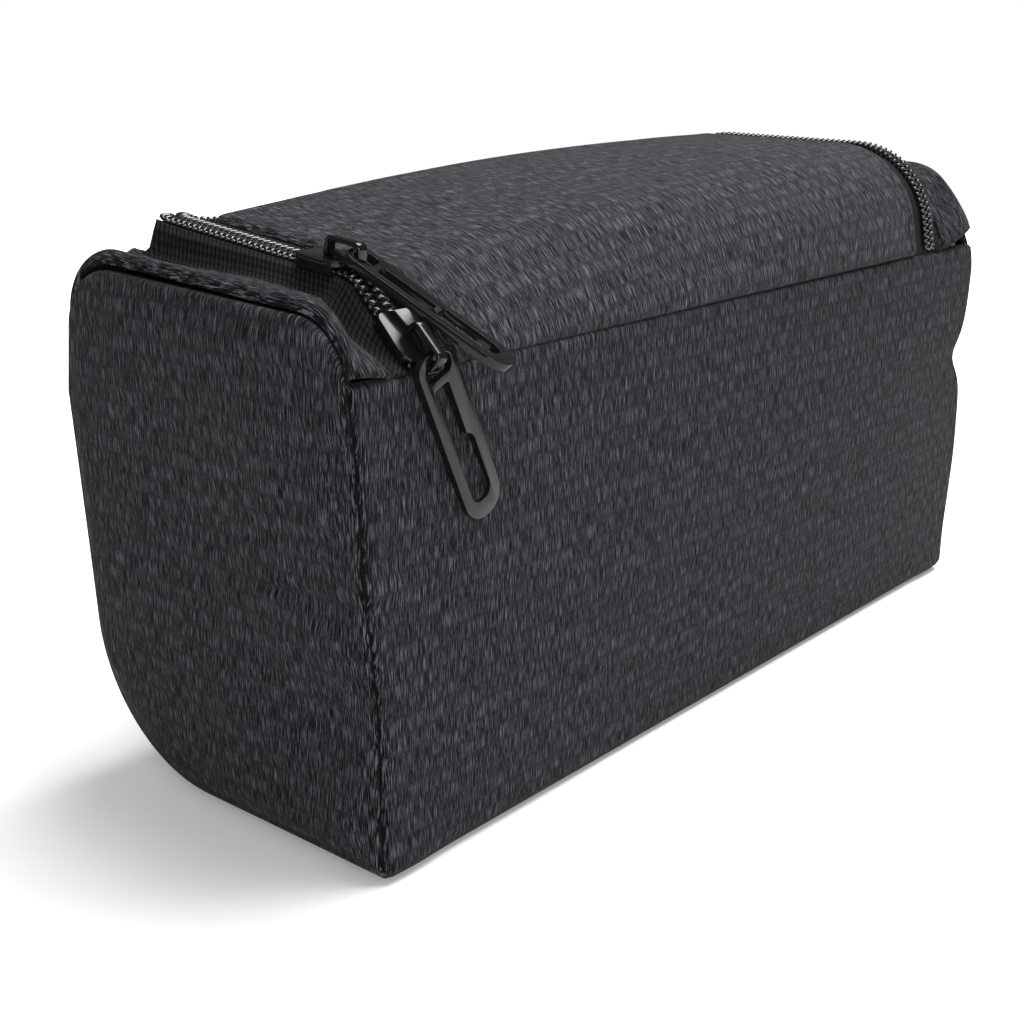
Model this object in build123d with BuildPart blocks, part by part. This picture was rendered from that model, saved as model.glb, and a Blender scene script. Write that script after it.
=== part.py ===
from build123d import *
import os
from math import atan2, ceil, cos, degrees, pi, radians, sin, tan

# Soft travel organizer with a lid closed by a two-slider zip.
# Millimetres. +X runs along the bag, the long seam under the lid faces -Y, +Z is up.
# The origin is the middle of the flat base.
os.makedirs("parts", exist_ok=True)

# Overall form of the filled bag
base_length = 242.0
body_depth = 87.0
front_seam_height = 98.5
back_seam_height = 86.0
end_lean = 2.8
base_front_radius = 6.0
base_back_radius = 34.0
back_top_lean = 13.0

# Top of the bag: rise of the front and back shoulder corners over their seams, at the ends and each zip run
end_front_rise = 12.0
end_back_rise = 28.0
left_front_rise = 15.5
left_back_rise = 35.5
right_front_rise = 28.0
right_back_rise = 42.0
lid_rise = 7.0
end_shoulder_inset = 2.0
left_shoulder_inset = 15.5
right_shoulder_inset = 5.0
end_front_radius = 13.0
end_back_radius = 17.0
left_front_radius = 6.0
left_back_radius = 10.0
right_front_radius = 24.0
right_back_radius = 12.0
corner_steps = 3
lid_stations = 5

# Layers of the wall and the space left between them
cloth = 1.0
foam = 2.0
lining = 0.5
layer_gap = 0.15
foam_setback = 6.0

# Zip: where its two side runs lie, the tape, the coil and the bend at the back
left_zip_x = -107.5
right_zip_x = 94.5
back_zip_rise = 13.0
zip_bend = 13.0
tape_show = 8.0
tape_half = 12.0
tape_thick = 0.6
tape_gap = 0.8
coil_pitch = 1.65
coil_base = 0.5
coil_height = 1.5
coil_inner = 0.8
coil_outer = 3.0
coil_gap = 0.08
coil_ridge = 0.6

# Fold line of the lid
fold_y = -24.0
fold_gap = 0.6

# Sliders and pulls
slider_length = 11.0
slider_nose_width = 9.6
slider_tail_width = 8.8
plate = 1.0
slider_clear = 0.3
slider_nose_radius = 3.2
flange_inner = 3.4
flange_wide = 0.9
neck_half = 0.45
neck_length = 2.6
tongue_length = 3.0
tongue_half = 1.5
crown_half = 1.2
crown_strap = 0.9
crown_room = 2.9
crown_length = 9.5
pivot_forward = 0.3
pawl_length = 3.3
pawl_low = 0.7
pawl_high = 1.3
slider_1_start = 0.4
slider_2_start = 1.1
held_spare = 1.0
pull_length = 36.0
pull_width = 10.0
pull_thick = 1.6
pull_end_radius = 4.6
pull_top_radius = 3.0
eye_bar = 1.2
eye_length = 4.0
eye_width = 7.0
pull_web = 1.4
slot_width = 5.5
slot_step = 1.5
slot_step_length = 11.5
slot_end = 3.4
pull_1_yaw = 24.6
pull_1_droop = 32.8
pull_2_lean = 24.0

# Inner pocket of open mesh and its elastic rim
pocket_length = 180.0
pocket_low = 42.0
pocket_high = 78.0
mesh_thick = 0.4
elastic_height = 6.0
elastic_thick = 1.2
binding_width = 7.0
binding_thick = 0.6

front_y = -body_depth / 2
back_y = body_depth / 2
half_base = base_length / 2
reach = base_length
margin = base_length / 10
lean_run = front_seam_height + end_front_rise / 2
end_x = half_base + lean_run * sin(radians(end_lean)) / cos(radians(end_lean))
seam_slope = degrees(atan2(back_seam_height - front_seam_height, body_depth))
foam_inset = cloth + layer_gap
lining_inset = foam_inset + foam + layer_gap
inner_inset = lining_inset + lining + layer_gap
tape_inset = cloth + layer_gap
seam_lap = foam_setback * 2

seam_plane = Plane(
    origin=(0, front_y, front_seam_height),
    x_dir=(1, 0, 0),
    z_dir=(0, -sin(radians(seam_slope)), cos(radians(seam_slope))),
)
back_plane = Plane(
    origin=(0, back_y, back_seam_height),
    x_dir=(1, 0, 0),
    z_dir=(0, -cos(radians(back_top_lean)), -sin(radians(back_top_lean))),
)


def end_plane(side, depth):
    """Plane of one leaning end, moved inwards by depth, facing outwards."""
    out = Vector(side * cos(radians(end_lean)), 0, -sin(radians(end_lean)))
    return Plane(origin=Vector(side * half_base, 0, 0) - out * depth, x_dir=(0, side, 0), z_dir=out)


def mix(a, b, share):
    """Value a share of the way from a to b."""
    return a + (b - a) * share


def back_line(height):
    """Point of the leaning upper back at a height."""
    drop = (height - back_seam_height) * sin(radians(back_top_lean)) / cos(radians(back_top_lean))
    return (back_y - drop, height)


def top_path(x):
    """Corners and radii of the top's outline, from below the front seam to below the back seam."""
    end = (end_shoulder_inset, end_front_rise, end_back_rise, end_front_radius, end_back_radius)
    left = (left_shoulder_inset, left_front_rise, left_back_rise, left_front_radius, left_back_radius)
    right = (right_shoulder_inset, right_front_rise, right_back_rise, right_front_radius, right_back_radius)
    lid_left = left_zip_x + tape_show
    lid_right = right_zip_x - tape_show
    rise = 0
    if x <= lid_left:
        share = min(max((left_zip_x - tape_show - x) / (end_x + left_zip_x - tape_show), 0), 1)
        values = [mix(a, b, share) for a, b in zip(left, end)]
    elif x >= lid_right:
        share = min(max((x - right_zip_x - tape_show) / (end_x - right_zip_x - tape_show), 0), 1)
        values = [mix(a, b, share) for a, b in zip(right, end)]
    else:
        share = (x - lid_left) / (lid_right - lid_left)
        rise = lid_rise * sin(pi * share)
        values = [mix(a, b, share) for a, b in zip(left, right)]
    inset, front_rise, back_rise, front_radius, back_radius = values
    start = Vector(front_y, front_seam_height)
    front = start + Vector(inset, front_rise + rise)
    below = start - (front - start).normalized() * seam_lap
    back = Vector(*back_line(back_seam_height + back_rise + rise))
    foot = Vector(*back_line(back_seam_height - seam_lap))
    return [below, front, back, foot], [front_radius, back_radius]


def wall_path():
    """Corners and radii of the front, base and back outline, from above one seam to above the other."""
    above = front_seam_height + seam_lap
    points = [(front_y, above), (front_y, 0), (back_y, 0), (back_y, above)]
    return [Vector(*p) for p in points], [base_front_radius, base_back_radius]


def moved_in(points, depth, closed=False):
    """Outline moved to its right-hand side by depth, corner by corner."""
    count = len(points)
    result = []
    for i, point in enumerate(points):
        before = points[i - 1] if i > 0 or closed else None
        after = points[(i + 1) % count] if i < count - 1 or closed else None
        ways = []
        if before is not None:
            ways.append((point - before).normalized())
        if after is not None:
            ways.append((after - point).normalized())
        sides = [Vector(way.Y, -way.X) for way in ways]
        if len(sides) == 1:
            result.append(point + sides[0] * depth)
        else:
            middle = (sides[0] + sides[1]).normalized()
            result.append(point + middle * (depth / middle.dot(sides[0])))
    return result


def stepped(points, radii):
    """Outline whose corners are rounded in a few straight steps."""
    result = [points[0]]
    for before, point, after, radius in zip(points, points[1:], points[2:], radii):
        back_way = (before - point).normalized()
        on_way = (after - point).normalized()
        half = radians(back_way.get_angle(on_way)) / 2
        centre = point + (back_way + on_way).normalized() * (radius / sin(half))
        arm = point + back_way * (radius / tan(half)) - centre
        turn = degrees(pi - 2 * half)
        if back_way.cross(on_way).Z > 0:
            turn = -turn
        for i in range(corner_steps + 1):
            result.append(centre + arm.rotate(Axis.Z, turn * i / corner_steps))
    result.append(points[-1])
    return result


def section(x, inset, thick):
    """Points round one layer of the top at x: its outer line, then its inner line back again."""
    points, radii = top_path(x)
    near = stepped(moved_in(points, inset), [r - inset for r in radii])
    far = stepped(moved_in(points, inset + thick), [r - inset - thick for r in radii])
    return [Vector(x, p.X, p.Y) for p in near + far[::-1]]


def folded_solid(sections):
    """Solid through cross-sections, whose every panel is folded along the same diagonal inside and out."""
    faces = [Face(Wire.make_polygon(sections[0])), Face(Wire.make_polygon(sections[-1]))]
    for near, far in zip(sections, sections[1:]):
        count = len(near)
        for i in range(count):
            k = (i + 1) % count
            ring = [near[i], near[k], far[k], far[i]]
            if i >= count // 2:
                ring = [near[k], far[k], far[i], near[i]]
            faces.append(Face(Wire.make_polygon(ring[:3])))
            faces.append(Face(Wire.make_polygon([ring[0], ring[2], ring[3]])))
    return Solid(Shell(faces))


def band_face(points, radii, inset, thick):
    """Face between the wall's outline inset and the same outline further in."""
    outer = moved_in(points, -inset)
    inner = moved_in(points, -inset - thick)
    with BuildSketch() as band:
        with BuildLine():
            near = FilletPolyline(*outer, radius=[r - inset for r in radii])
            far = FilletPolyline(*inner, radius=[r - inset - thick for r in radii])
            Line(near @ 0, far @ 0)
            Line(near @ 1, far @ 1)
        make_face()
    return band.sketch


def top_layer(inset, thick):
    """One layer of the whole top, before it is cut into its pieces."""
    zip_edges = [left_zip_x - tape_show, left_zip_x + tape_show, right_zip_x - tape_show, right_zip_x + tape_show]
    lid_span = zip_edges[2] - zip_edges[1]
    between = [zip_edges[1] + lid_span * i / lid_stations for i in range(1, lid_stations)]
    stations = [-end_x - margin, -end_x] + zip_edges + between + [end_x, end_x + margin]
    skin = folded_solid([section(x, inset, thick) for x in sorted(stations)])
    with BuildPart() as layer:
        add(skin)
        split(bisect_by=seam_plane, keep=Keep.TOP)
    return layer.part


def zip_outline(edge):
    """Block over the top, whose edge runs beside the zip's centre line, edge outside it."""
    low = back_zip_rise - edge
    with BuildPart() as block:
        with BuildSketch(back_plane) as outline:
            with BuildLine():
                left = left_zip_x - edge
                right = right_zip_x + edge
                Polyline((left, reach), (left, low), (right, low), (right, reach), close=True)
            make_face()
            corners = outline.vertices().filter_by_position(Axis.Z, 0, back_seam_height + low + 1)
            fillet(corners, max(zip_bend + edge, tape_thick))
        extrude(amount=reach, both=True)
    return block.part


def front_zone(left_y, right_y):
    """Space in front of two cross lines, one for each side run of the zip."""
    with BuildPart() as zone:
        for side, limit in ((-1, left_y), (1, right_y)):
            with BuildSketch(Plane.XY):
                with Locations((side * reach / 2, limit - reach / 2)):
                    Rectangle(reach, reach)
            extrude(amount=reach)
    return zone.part


def wall_layer(inset, thick, end_depth, top_drop=0.0):
    """One layer of the front, base and back, trimmed to the ends and to the seams."""
    points, radii = wall_path()
    with BuildPart() as layer:
        with BuildSketch(Plane.YZ):
            add(band_face(points, radii, inset, thick))
        extrude(amount=reach, both=True)
        split(bisect_by=seam_plane.offset(-top_drop), keep=Keep.BOTTOM)
        for side in (-1, 1):
            split(bisect_by=end_plane(side, end_depth), keep=Keep.BOTTOM)
    return layer.part


def end_outline(inset):
    """Face of the end's whole outline, moved in by inset."""
    top, top_radii = top_path(end_x)
    wall_radii = [base_back_radius, base_front_radius]
    seam_front = Vector(front_y, front_seam_height)
    seam_back = Vector(back_y, back_seam_height)
    loop = [seam_front, top[1], top[2], seam_back, Vector(back_y, 0), Vector(front_y, 0)]
    p = moved_in(loop, inset, closed=True)
    with BuildSketch() as outline:
        with BuildLine():
            Polyline(*stepped(p[:4], [r - inset for r in top_radii]))
            FilletPolyline(p[3], p[4], p[5], p[0], radius=[r - inset for r in wall_radii])
        make_face()
    return outline.sketch


def end_layer(side, inset, depth, thick):
    """One flat layer of an end, depth inside its outer face."""
    with BuildPart() as layer:
        with BuildSketch(Plane.YZ.offset(side * half_base)):
            add(end_outline(inset))
        extrude(amount=margin, both=True)
        split(bisect_by=end_plane(side, depth), keep=Keep.BOTTOM)
        split(bisect_by=end_plane(side, depth + thick), keep=Keep.TOP)
    return layer.part


def save(name, part):
    """Label a finished piece and write it."""
    part.label = name
    export_step(part, f"parts/{name}.step")


# Outer cloth: one wrap for front, base and back, two ends, and the top in five pieces
with BuildPart() as main_wrap:
    add(wall_layer(0, cloth, cloth))
save("main_wrap", main_wrap.part)

for side, name in ((-1, "left_end_panel"), (1, "right_end_panel")):
    with BuildPart() as end_panel:
        add(end_layer(side, 0, 0, cloth))
    save(name, end_panel.part)

top_cloth = top_layer(0, cloth)
outside_zip = zip_outline(tape_show)
inside_zip = zip_outline(-tape_show)
lid_front = front_zone(fold_y - fold_gap / 2, fold_y - fold_gap / 2)
lid_rear = front_zone(fold_y + fold_gap / 2, fold_y + fold_gap / 2)

with BuildPart() as top_frame:
    add(top_cloth)
    add(outside_zip, mode=Mode.SUBTRACT)
    for side in (-1, 1):
        split(bisect_by=end_plane(side, cloth), keep=Keep.BOTTOM)

left_strip_edge = Plane(origin=(left_zip_x + zip_bend, 0, 0), z_dir=(-1, 0, 0))
right_strip_edge = Plane(origin=(right_zip_x - zip_bend, 0, 0), z_dir=(1, 0, 0))
with BuildPart() as left_top_strip:
    add(top_frame.part)
    split(bisect_by=left_strip_edge, keep=Keep.TOP)
save("left_top_strip", left_top_strip.part)

with BuildPart() as right_top_strip:
    add(top_frame.part)
    split(bisect_by=right_strip_edge, keep=Keep.TOP)
save("right_top_strip", right_top_strip.part)

with BuildPart() as back_top_strip:
    add(top_frame.part)
    split(bisect_by=left_strip_edge, keep=Keep.BOTTOM)
    split(bisect_by=right_strip_edge, keep=Keep.BOTTOM)
save("back_top_strip", back_top_strip.part)

with BuildPart() as lid_front_band:
    add(top_cloth)
    add(inside_zip, mode=Mode.INTERSECT)
    add(lid_front, mode=Mode.INTERSECT)
save("lid_front_band", lid_front_band.part)

with BuildPart() as lid_panel:
    add(top_cloth)
    add(inside_zip, mode=Mode.INTERSECT)
    add(lid_rear, mode=Mode.SUBTRACT)
save("lid_panel", lid_panel.part)

# Foam and lining behind the outer cloth
with BuildPart() as wrap_foam:
    add(wall_layer(foam_inset, foam, foam_inset, foam_setback))
save("wrap_foam", wrap_foam.part)

with BuildPart() as wrap_lining:
    add(wall_layer(lining_inset, lining, lining_inset, foam_setback))
save("wrap_lining", wrap_lining.part)

for side, word in ((-1, "left"), (1, "right")):
    with BuildPart() as end_foam:
        add(end_layer(side, lining_inset + foam, foam_inset, foam))
    save(f"{word}_end_foam", end_foam.part)
    with BuildPart() as end_lining:
        add(end_layer(side, inner_inset + foam, lining_inset, lining))
    save(f"{word}_end_lining", end_lining.part)

inside_tape = zip_outline(-tape_half - slider_clear)
with BuildPart() as lid_foam:
    add(top_layer(foam_inset, foam))
    add(inside_tape, mode=Mode.INTERSECT)
    add(lid_rear, mode=Mode.SUBTRACT)
save("lid_foam", lid_foam.part)

with BuildPart() as lid_lining:
    add(top_layer(lining_inset, lining))
    add(inside_tape, mode=Mode.INTERSECT)
    add(lid_rear, mode=Mode.SUBTRACT)
save("lid_lining", lid_lining.part)

# Binding over the raw seam edges inside each end
for side, word in ((-1, "left"), (1, "right")):
    with BuildPart() as binding:
        points, radii = wall_path()
        with BuildSketch(Plane.YZ.offset(side * half_base)):
            add(band_face(points, radii, inner_inset, binding_thick))
        extrude(amount=margin, both=True)
        split(bisect_by=seam_plane.offset(-foam_setback), keep=Keep.BOTTOM)
        split(bisect_by=end_plane(side, inner_inset), keep=Keep.BOTTOM)
        split(bisect_by=end_plane(side, inner_inset + binding_width), keep=Keep.TOP)
    save(f"{word}_seam_binding", binding.part)

# Mesh pocket and its elastic on the inside of the back
pocket_face = back_y - inner_inset
with BuildPart() as mesh_pocket:
    with BuildSketch(Plane.XZ.offset(-pocket_face)):
        with Locations((0, (pocket_low + pocket_high) / 2)):
            Rectangle(pocket_length, pocket_high - pocket_low)
    extrude(amount=mesh_thick)
save("mesh_pocket", mesh_pocket.part)

with BuildPart() as pocket_elastic:
    with BuildSketch(Plane.XZ.offset(-pocket_face)):
        with Locations((0, pocket_high + elastic_height / 2)):
            RectangleRounded(pocket_length, elastic_height, elastic_thick)
    extrude(amount=elastic_thick)
save("pocket_elastic", pocket_elastic.part)


# Zip tapes: one sewn to the body, one to the lid, whose front ends stay where the sliders hold them
def run_corners(x, inset):
    """Points of the zip's side run on its tape, from the front seam to the bend at the back."""
    points, radii = top_path(x)
    points[0] = Vector(front_y, front_seam_height)
    rise = back_zip_rise + zip_bend
    lean = radians(back_top_lean)
    points[3] = Vector(back_y - rise * sin(lean), back_seam_height + rise * cos(lean))
    return stepped(moved_in(points, inset), [r - inset for r in radii])


def run_line(points):
    """Line through the points of a side run."""
    with BuildLine() as line:
        Polyline(*points)
    return line.wire()


left_run = run_corners(left_zip_x, tape_inset)
right_run = run_corners(right_zip_x, tape_inset)
left_tape_line = run_line(left_run)


def run_point(line, distance):
    """Place, forward way and outward way on a side run, at a distance from the front seam."""
    share = distance / line.length
    place = line @ share
    way = line % share
    return place, Vector(way.X, way.Y), Vector(-way.Y, way.X)


shoulder_run = left_run[:corner_steps + 2]
shoulder_length = sum((b - a).length for a, b in zip(shoulder_run, shoulder_run[1:]))
slider_1_front = shoulder_length + slider_1_start
held_y = run_point(left_tape_line, slider_1_front + slider_length + held_spare)[0].X

tape_layer = top_layer(tape_inset, tape_thick)
gap_outside = zip_outline(tape_gap)
gap_inside = zip_outline(-tape_gap)
with BuildPart() as zip_tape_body:
    add(tape_layer)
    add(zip_outline(tape_half), mode=Mode.INTERSECT)
    add(gap_outside, mode=Mode.SUBTRACT)
    for side in (-1, 1):
        split(bisect_by=end_plane(side, foam_inset), keep=Keep.BOTTOM)
save("zip_tape_body", zip_tape_body.part)

lid_tape_inner = zip_outline(-tape_half)
with BuildPart() as zip_tape_lid:
    add(tape_layer)
    add(gap_inside, mode=Mode.INTERSECT)
    add(lid_tape_inner, mode=Mode.SUBTRACT)
    add(front_zone(held_y + fold_gap / 2, fold_y + fold_gap / 2), mode=Mode.SUBTRACT)
save("zip_tape_lid", zip_tape_lid.part)

with BuildPart() as zip_tape_held:
    add(tape_layer)
    add(gap_inside, mode=Mode.INTERSECT)
    add(lid_tape_inner, mode=Mode.SUBTRACT)
    add(front_zone(held_y - fold_gap / 2, fold_y - fold_gap / 2), mode=Mode.INTERSECT)
save("zip_tape_held", zip_tape_held.part)


# Zip coils: a low band with one ridge for each turn, along the side runs, the bends and the back
def ridge_line(count, point_at, floor):
    """Closed outline of a ridged band; point_at gives the place at a distance and a height."""
    top = [point_at(0, coil_gap + coil_base)]
    for i in range(count):
        top.append(point_at((i + 0.5) * coil_pitch, coil_gap + coil_height))
        top.append(point_at((i + 1) * coil_pitch, coil_gap + coil_base))
    Polyline(*top, *reversed(floor), close=True)


def side_coil(run, x, side):
    """Ridged band on a side run; side is -1 or +1 for the row left or right of the centre line."""
    line = run_line(run)
    count = int(line.length / coil_pitch)
    slack = line.length - count * coil_pitch

    def place(distance, height):
        point, way, out = run_point(line, min(distance + slack, line.length))
        return (point.X + out.X * height, point.Y + out.Y * height)

    floor = [place(0, coil_gap)] + moved_in(run, -coil_gap)[1:]
    with BuildPart() as row:
        with BuildSketch(Plane.YZ.offset(x + side * coil_inner)):
            with BuildLine():
                ridge_line(count, place, floor)
            make_face()
        extrude(amount=side * (coil_outer - coil_inner))
    return row.part


def back_coil(side):
    """Ridged band along the back run; side is +1 above the centre line and -1 below it."""
    left = left_zip_x + zip_bend
    span = right_zip_x - zip_bend - left
    count = int(span / coil_pitch)
    slack = (span - count * coil_pitch) / 2
    up = Vector(0, -sin(radians(back_top_lean)), cos(radians(back_top_lean)))
    out = -back_plane.z_dir
    base = back_plane.origin + up * (back_zip_rise + side * coil_inner) - out * tape_inset
    first = left + slack
    floor = [(first, coil_gap), (first + count * coil_pitch, coil_gap)]
    with BuildPart() as row:
        with BuildSketch(Plane(origin=base, x_dir=(1, 0, 0), z_dir=up)):
            with BuildLine():
                ridge_line(count, lambda distance, height: (first + distance, height), floor)
            make_face()
            with Locations((left, coil_gap)):
                Rectangle(span, coil_base, align=(Align.MIN, Align.MIN))
        extrude(amount=side * (coil_outer - coil_inner))
    return row.part


def bend_coil(x, turn, side):
    """Ridged band round one bend; turn is -1 at the left and +1 at the right, side +1 inside the bend."""
    plane = back_plane.offset(tape_inset - coil_gap)
    centre = (x - turn * zip_bend, back_zip_rise + zip_bend)
    near = zip_bend - side * coil_inner
    far = zip_bend - side * coil_outer
    inner, outer = min(near, far), max(near, far)
    first = 180 if turn < 0 else 270
    count = ceil(zip_bend * pi / 2 / coil_pitch)
    with BuildPart() as row:
        with BuildSketch(plane):
            with BuildLine():
                near_arc = CenterArc(centre, inner, first, 90)
                far_arc = CenterArc(centre, outer, first, 90)
                Line(near_arc @ 0, far_arc @ 0)
                Line(near_arc @ 1, far_arc @ 1)
            make_face()
        extrude(amount=-coil_base)
        with BuildSketch(plane.offset(-coil_base)):
            with Locations(centre):
                with PolarLocations((inner + outer) / 2, count, first + 45 / count, 90, endpoint=False):
                    Rectangle(outer - inner - 2 * coil_gap, coil_pitch * coil_ridge)
        extrude(amount=-(coil_height - coil_base))
    return row.part


with BuildPart() as zip_coil_body:
    add(side_coil(left_run, left_zip_x, -1))
    add(side_coil(right_run, right_zip_x, 1))
    add(back_coil(-1))
    add(bend_coil(left_zip_x, -1, -1))
    add(bend_coil(right_zip_x, 1, -1))
save("zip_coil_body", zip_coil_body.part)

with BuildPart() as lid_side_coil:
    add(side_coil(left_run, left_zip_x, 1))
    add(side_coil(right_run, right_zip_x, -1))
    add(back_coil(1))
    add(bend_coil(left_zip_x, -1, 1))
    add(bend_coil(right_zip_x, 1, 1))

with BuildPart() as zip_coil_lid:
    add(lid_side_coil.part)
    add(front_zone(held_y + fold_gap / 2, fold_y + fold_gap / 2), mode=Mode.SUBTRACT)
save("zip_coil_lid", zip_coil_lid.part)

with BuildPart() as zip_coil_held:
    add(lid_side_coil.part)
    add(front_zone(held_y - fold_gap / 2, fold_y - fold_gap / 2), mode=Mode.INTERSECT)
save("zip_coil_held", zip_coil_held.part)

# Sliders: two plates joined by a neck, with flanges that hold the coils, and a crown for the pull
plate_low = coil_gap + coil_height + slider_clear
plate_top = plate_low + plate
under_top = -tape_thick - slider_clear
pivot_height = plate_top + crown_room / 2


def slider_plane(distance):
    """Plane on the left run's tape at a slider's front edge: x to the nose, z outwards."""
    place, way, out = run_point(left_tape_line, distance)
    return Plane(
        origin=(left_zip_x, place.X, place.Y),
        x_dir=(0, -way.X, -way.Y),
        z_dir=(0, out.X, out.Y),
    )


def plate_outline():
    """Outline of a slider's plate, wider at the nose."""
    with BuildSketch() as outline:
        with BuildLine():
            Polyline(
                (0, slider_nose_width / 2),
                (-slider_length, slider_tail_width / 2),
                (-slider_length, -slider_tail_width / 2),
                (0, -slider_nose_width / 2),
                close=True,
            )
        make_face()
        fillet(outline.vertices().group_by(Axis.X)[0], slider_nose_radius / 2)
        fillet(outline.vertices().group_by(Axis.X)[-1], slider_nose_radius)
    return outline.sketch


def slider_body(frame):
    """Both plates, the neck between the coils and the four flanges."""
    with BuildPart() as body:
        with BuildSketch(frame.offset(plate_low)):
            add(plate_outline())
            with Locations((tongue_length / 2 - 1, 0)):
                RectangleRounded(tongue_length + 2, tongue_half * 2, tongue_half / 3)
        extrude(amount=plate)
        with BuildSketch(frame.offset(under_top)):
            add(plate_outline())
        extrude(amount=-plate)
        with BuildSketch(frame.offset(under_top - plate / 2)):
            with Locations((-neck_length / 2 - plate / 2, 0)):
                RectangleRounded(neck_length, neck_half * 2, neck_half * 0.9)
        extrude(amount=plate_low - under_top + plate)
        with BuildSketch(frame.offset(slider_clear)):
            for side in (-1, 1):
                with Locations((-slider_length / 2, side * (flange_inner + flange_wide / 2))):
                    Rectangle(slider_length - 2 * plate, flange_wide)
        extrude(amount=plate_low - slider_clear + plate / 2)
    return body.part


def slider_crown(frame):
    """Strap that stands on the upper plate and keeps the pull."""
    side_view = Plane(origin=frame.origin, x_dir=frame.x_dir, z_dir=-frame.y_dir)
    front = tongue_length
    rear = tongue_length - crown_length
    with BuildPart() as crown:
        with BuildSketch(side_view):
            with BuildLine():
                FilletPolyline(
                    (rear, plate_top),
                    (rear + crown_strap / 2, plate_top + crown_room + crown_strap),
                    (front, plate_top + crown_room + crown_strap),
                    (front, plate_top),
                    radius=crown_strap * 1.6,
                )
                Line((front, plate_top), (front - crown_strap, plate_top))
                FilletPolyline(
                    (front - crown_strap, plate_top),
                    (front - crown_strap, plate_top + crown_room),
                    (rear + crown_strap * 1.5, plate_top + crown_room),
                    (rear + crown_strap, plate_top),
                    radius=crown_strap * 0.6,
                )
                Line((rear + crown_strap, plate_top), (rear, plate_top))
            make_face()
        extrude(amount=crown_half, both=True)
    return crown.part


def slider_pawl(frame):
    """Locking pawl that lies under the crown, behind the pull's bar."""
    side_view = Plane(origin=frame.origin, x_dir=frame.x_dir, z_dir=-frame.y_dir)
    rear = tongue_length - crown_length + crown_strap + layer_gap * 3
    front = rear + pawl_length
    foot = plate_top + layer_gap
    with BuildPart() as pawl:
        with BuildSketch(side_view):
            with BuildLine():
                Polyline(
                    (rear, foot),
                    (front, foot),
                    (front, plate_top + pawl_low),
                    (rear, plate_top + pawl_high),
                    close=True,
                )
            make_face()
        extrude(amount=crown_half / 2, both=True)
    return pawl.part


def pull_outline():
    """Outline of a pull, tighter round its free end than round its eye."""
    start = -eye_bar / 2
    with BuildSketch() as outline:
        with Locations((start + pull_length / 2, 0)):
            Rectangle(pull_length, pull_width)
        fillet(outline.vertices().group_by(Axis.X)[0], pull_top_radius)
        fillet(outline.vertices().group_by(Axis.X)[-1], pull_end_radius)
    return outline.sketch


def pull_part(frame, step_side):
    """Flat pull with an oval eye and a long slot, narrower on one side near the eye."""
    start = -eye_bar / 2
    eye_end = eye_bar / 2 + eye_length
    slot_start = eye_end + pull_web
    slot_finish = pull_length + start - slot_end
    step_end = slot_start + slot_step_length
    half_slot = slot_width / 2
    with BuildPart() as pull:
        with BuildSketch(frame.offset(-pull_thick / 2)):
            add(pull_outline())
            with Locations(((eye_bar / 2 + eye_end) / 2, 0)):
                RectangleRounded(eye_length, eye_width, eye_length * 0.45, mode=Mode.SUBTRACT)
            with Locations(((step_end + slot_finish) / 2, 0)):
                RectangleRounded(slot_finish - step_end, slot_width, half_slot * 0.9, mode=Mode.SUBTRACT)
            with Locations(((slot_start + step_end) / 2 + half_slot / 2, -step_side * slot_step / 2)):
                RectangleRounded(
                    step_end - slot_start + half_slot, slot_width - slot_step, slot_step / 2, mode=Mode.SUBTRACT
                )
        extrude(amount=pull_thick)
    return pull.part


slider_2_frame = slider_plane(slider_2_start)
slider_1_frame = slider_plane(slider_1_front)
for word, frame in (("slider_1", slider_1_frame), ("slider_2", slider_2_frame)):
    with BuildPart() as slider:
        add(slider_body(frame))
    save(f"{word}_body", slider.part)
    with BuildPart() as crown:
        add(slider_crown(frame))
    save(f"{word}_crown", crown.part)
    with BuildPart() as pawl:
        add(slider_pawl(frame))
    save(f"{word}_pawl", pawl.part)


def pivot_of(frame):
    """Middle of a pull's bar under the crown."""
    return frame.origin + frame.x_dir * pivot_forward + frame.z_dir * pivot_height


yaw = radians(pull_1_yaw)
droop = radians(pull_1_droop)
lean = radians(pull_2_lean)
pull_1_way = Vector(sin(yaw) * cos(droop), -cos(yaw) * cos(droop), -sin(droop))
pull_2_way = Vector(sin(lean), 0, -cos(lean))
pull_1_axis = Vector(cos(yaw), sin(yaw), 0)
pull_2_axis = Vector(cos(lean), 0, sin(lean))


def pull_frame(frame, way, axis):
    """Plane of a pull: x along it from the bar, z out of its face."""
    return Plane(origin=pivot_of(frame), x_dir=way, z_dir=axis.cross(way) * -1)


for word, frame, way, axis in (
    ("pull_1", slider_1_frame, pull_1_way, pull_1_axis),
    ("pull_2", slider_2_frame, pull_2_way, pull_2_axis),
):
    with BuildPart() as pull:
        add(pull_part(pull_frame(frame, way, axis), 1))
    save(word, pull.part)

print("left run", round(left_tape_line.length, 2), "right run", round(run_line(right_run).length, 2))
print("pull 1 pivot", pivot_of(slider_1_frame), "pull 2 pivot", pivot_of(slider_2_frame))
print("slide way", -slider_1_frame.x_dir, "held y", held_y)
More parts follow.
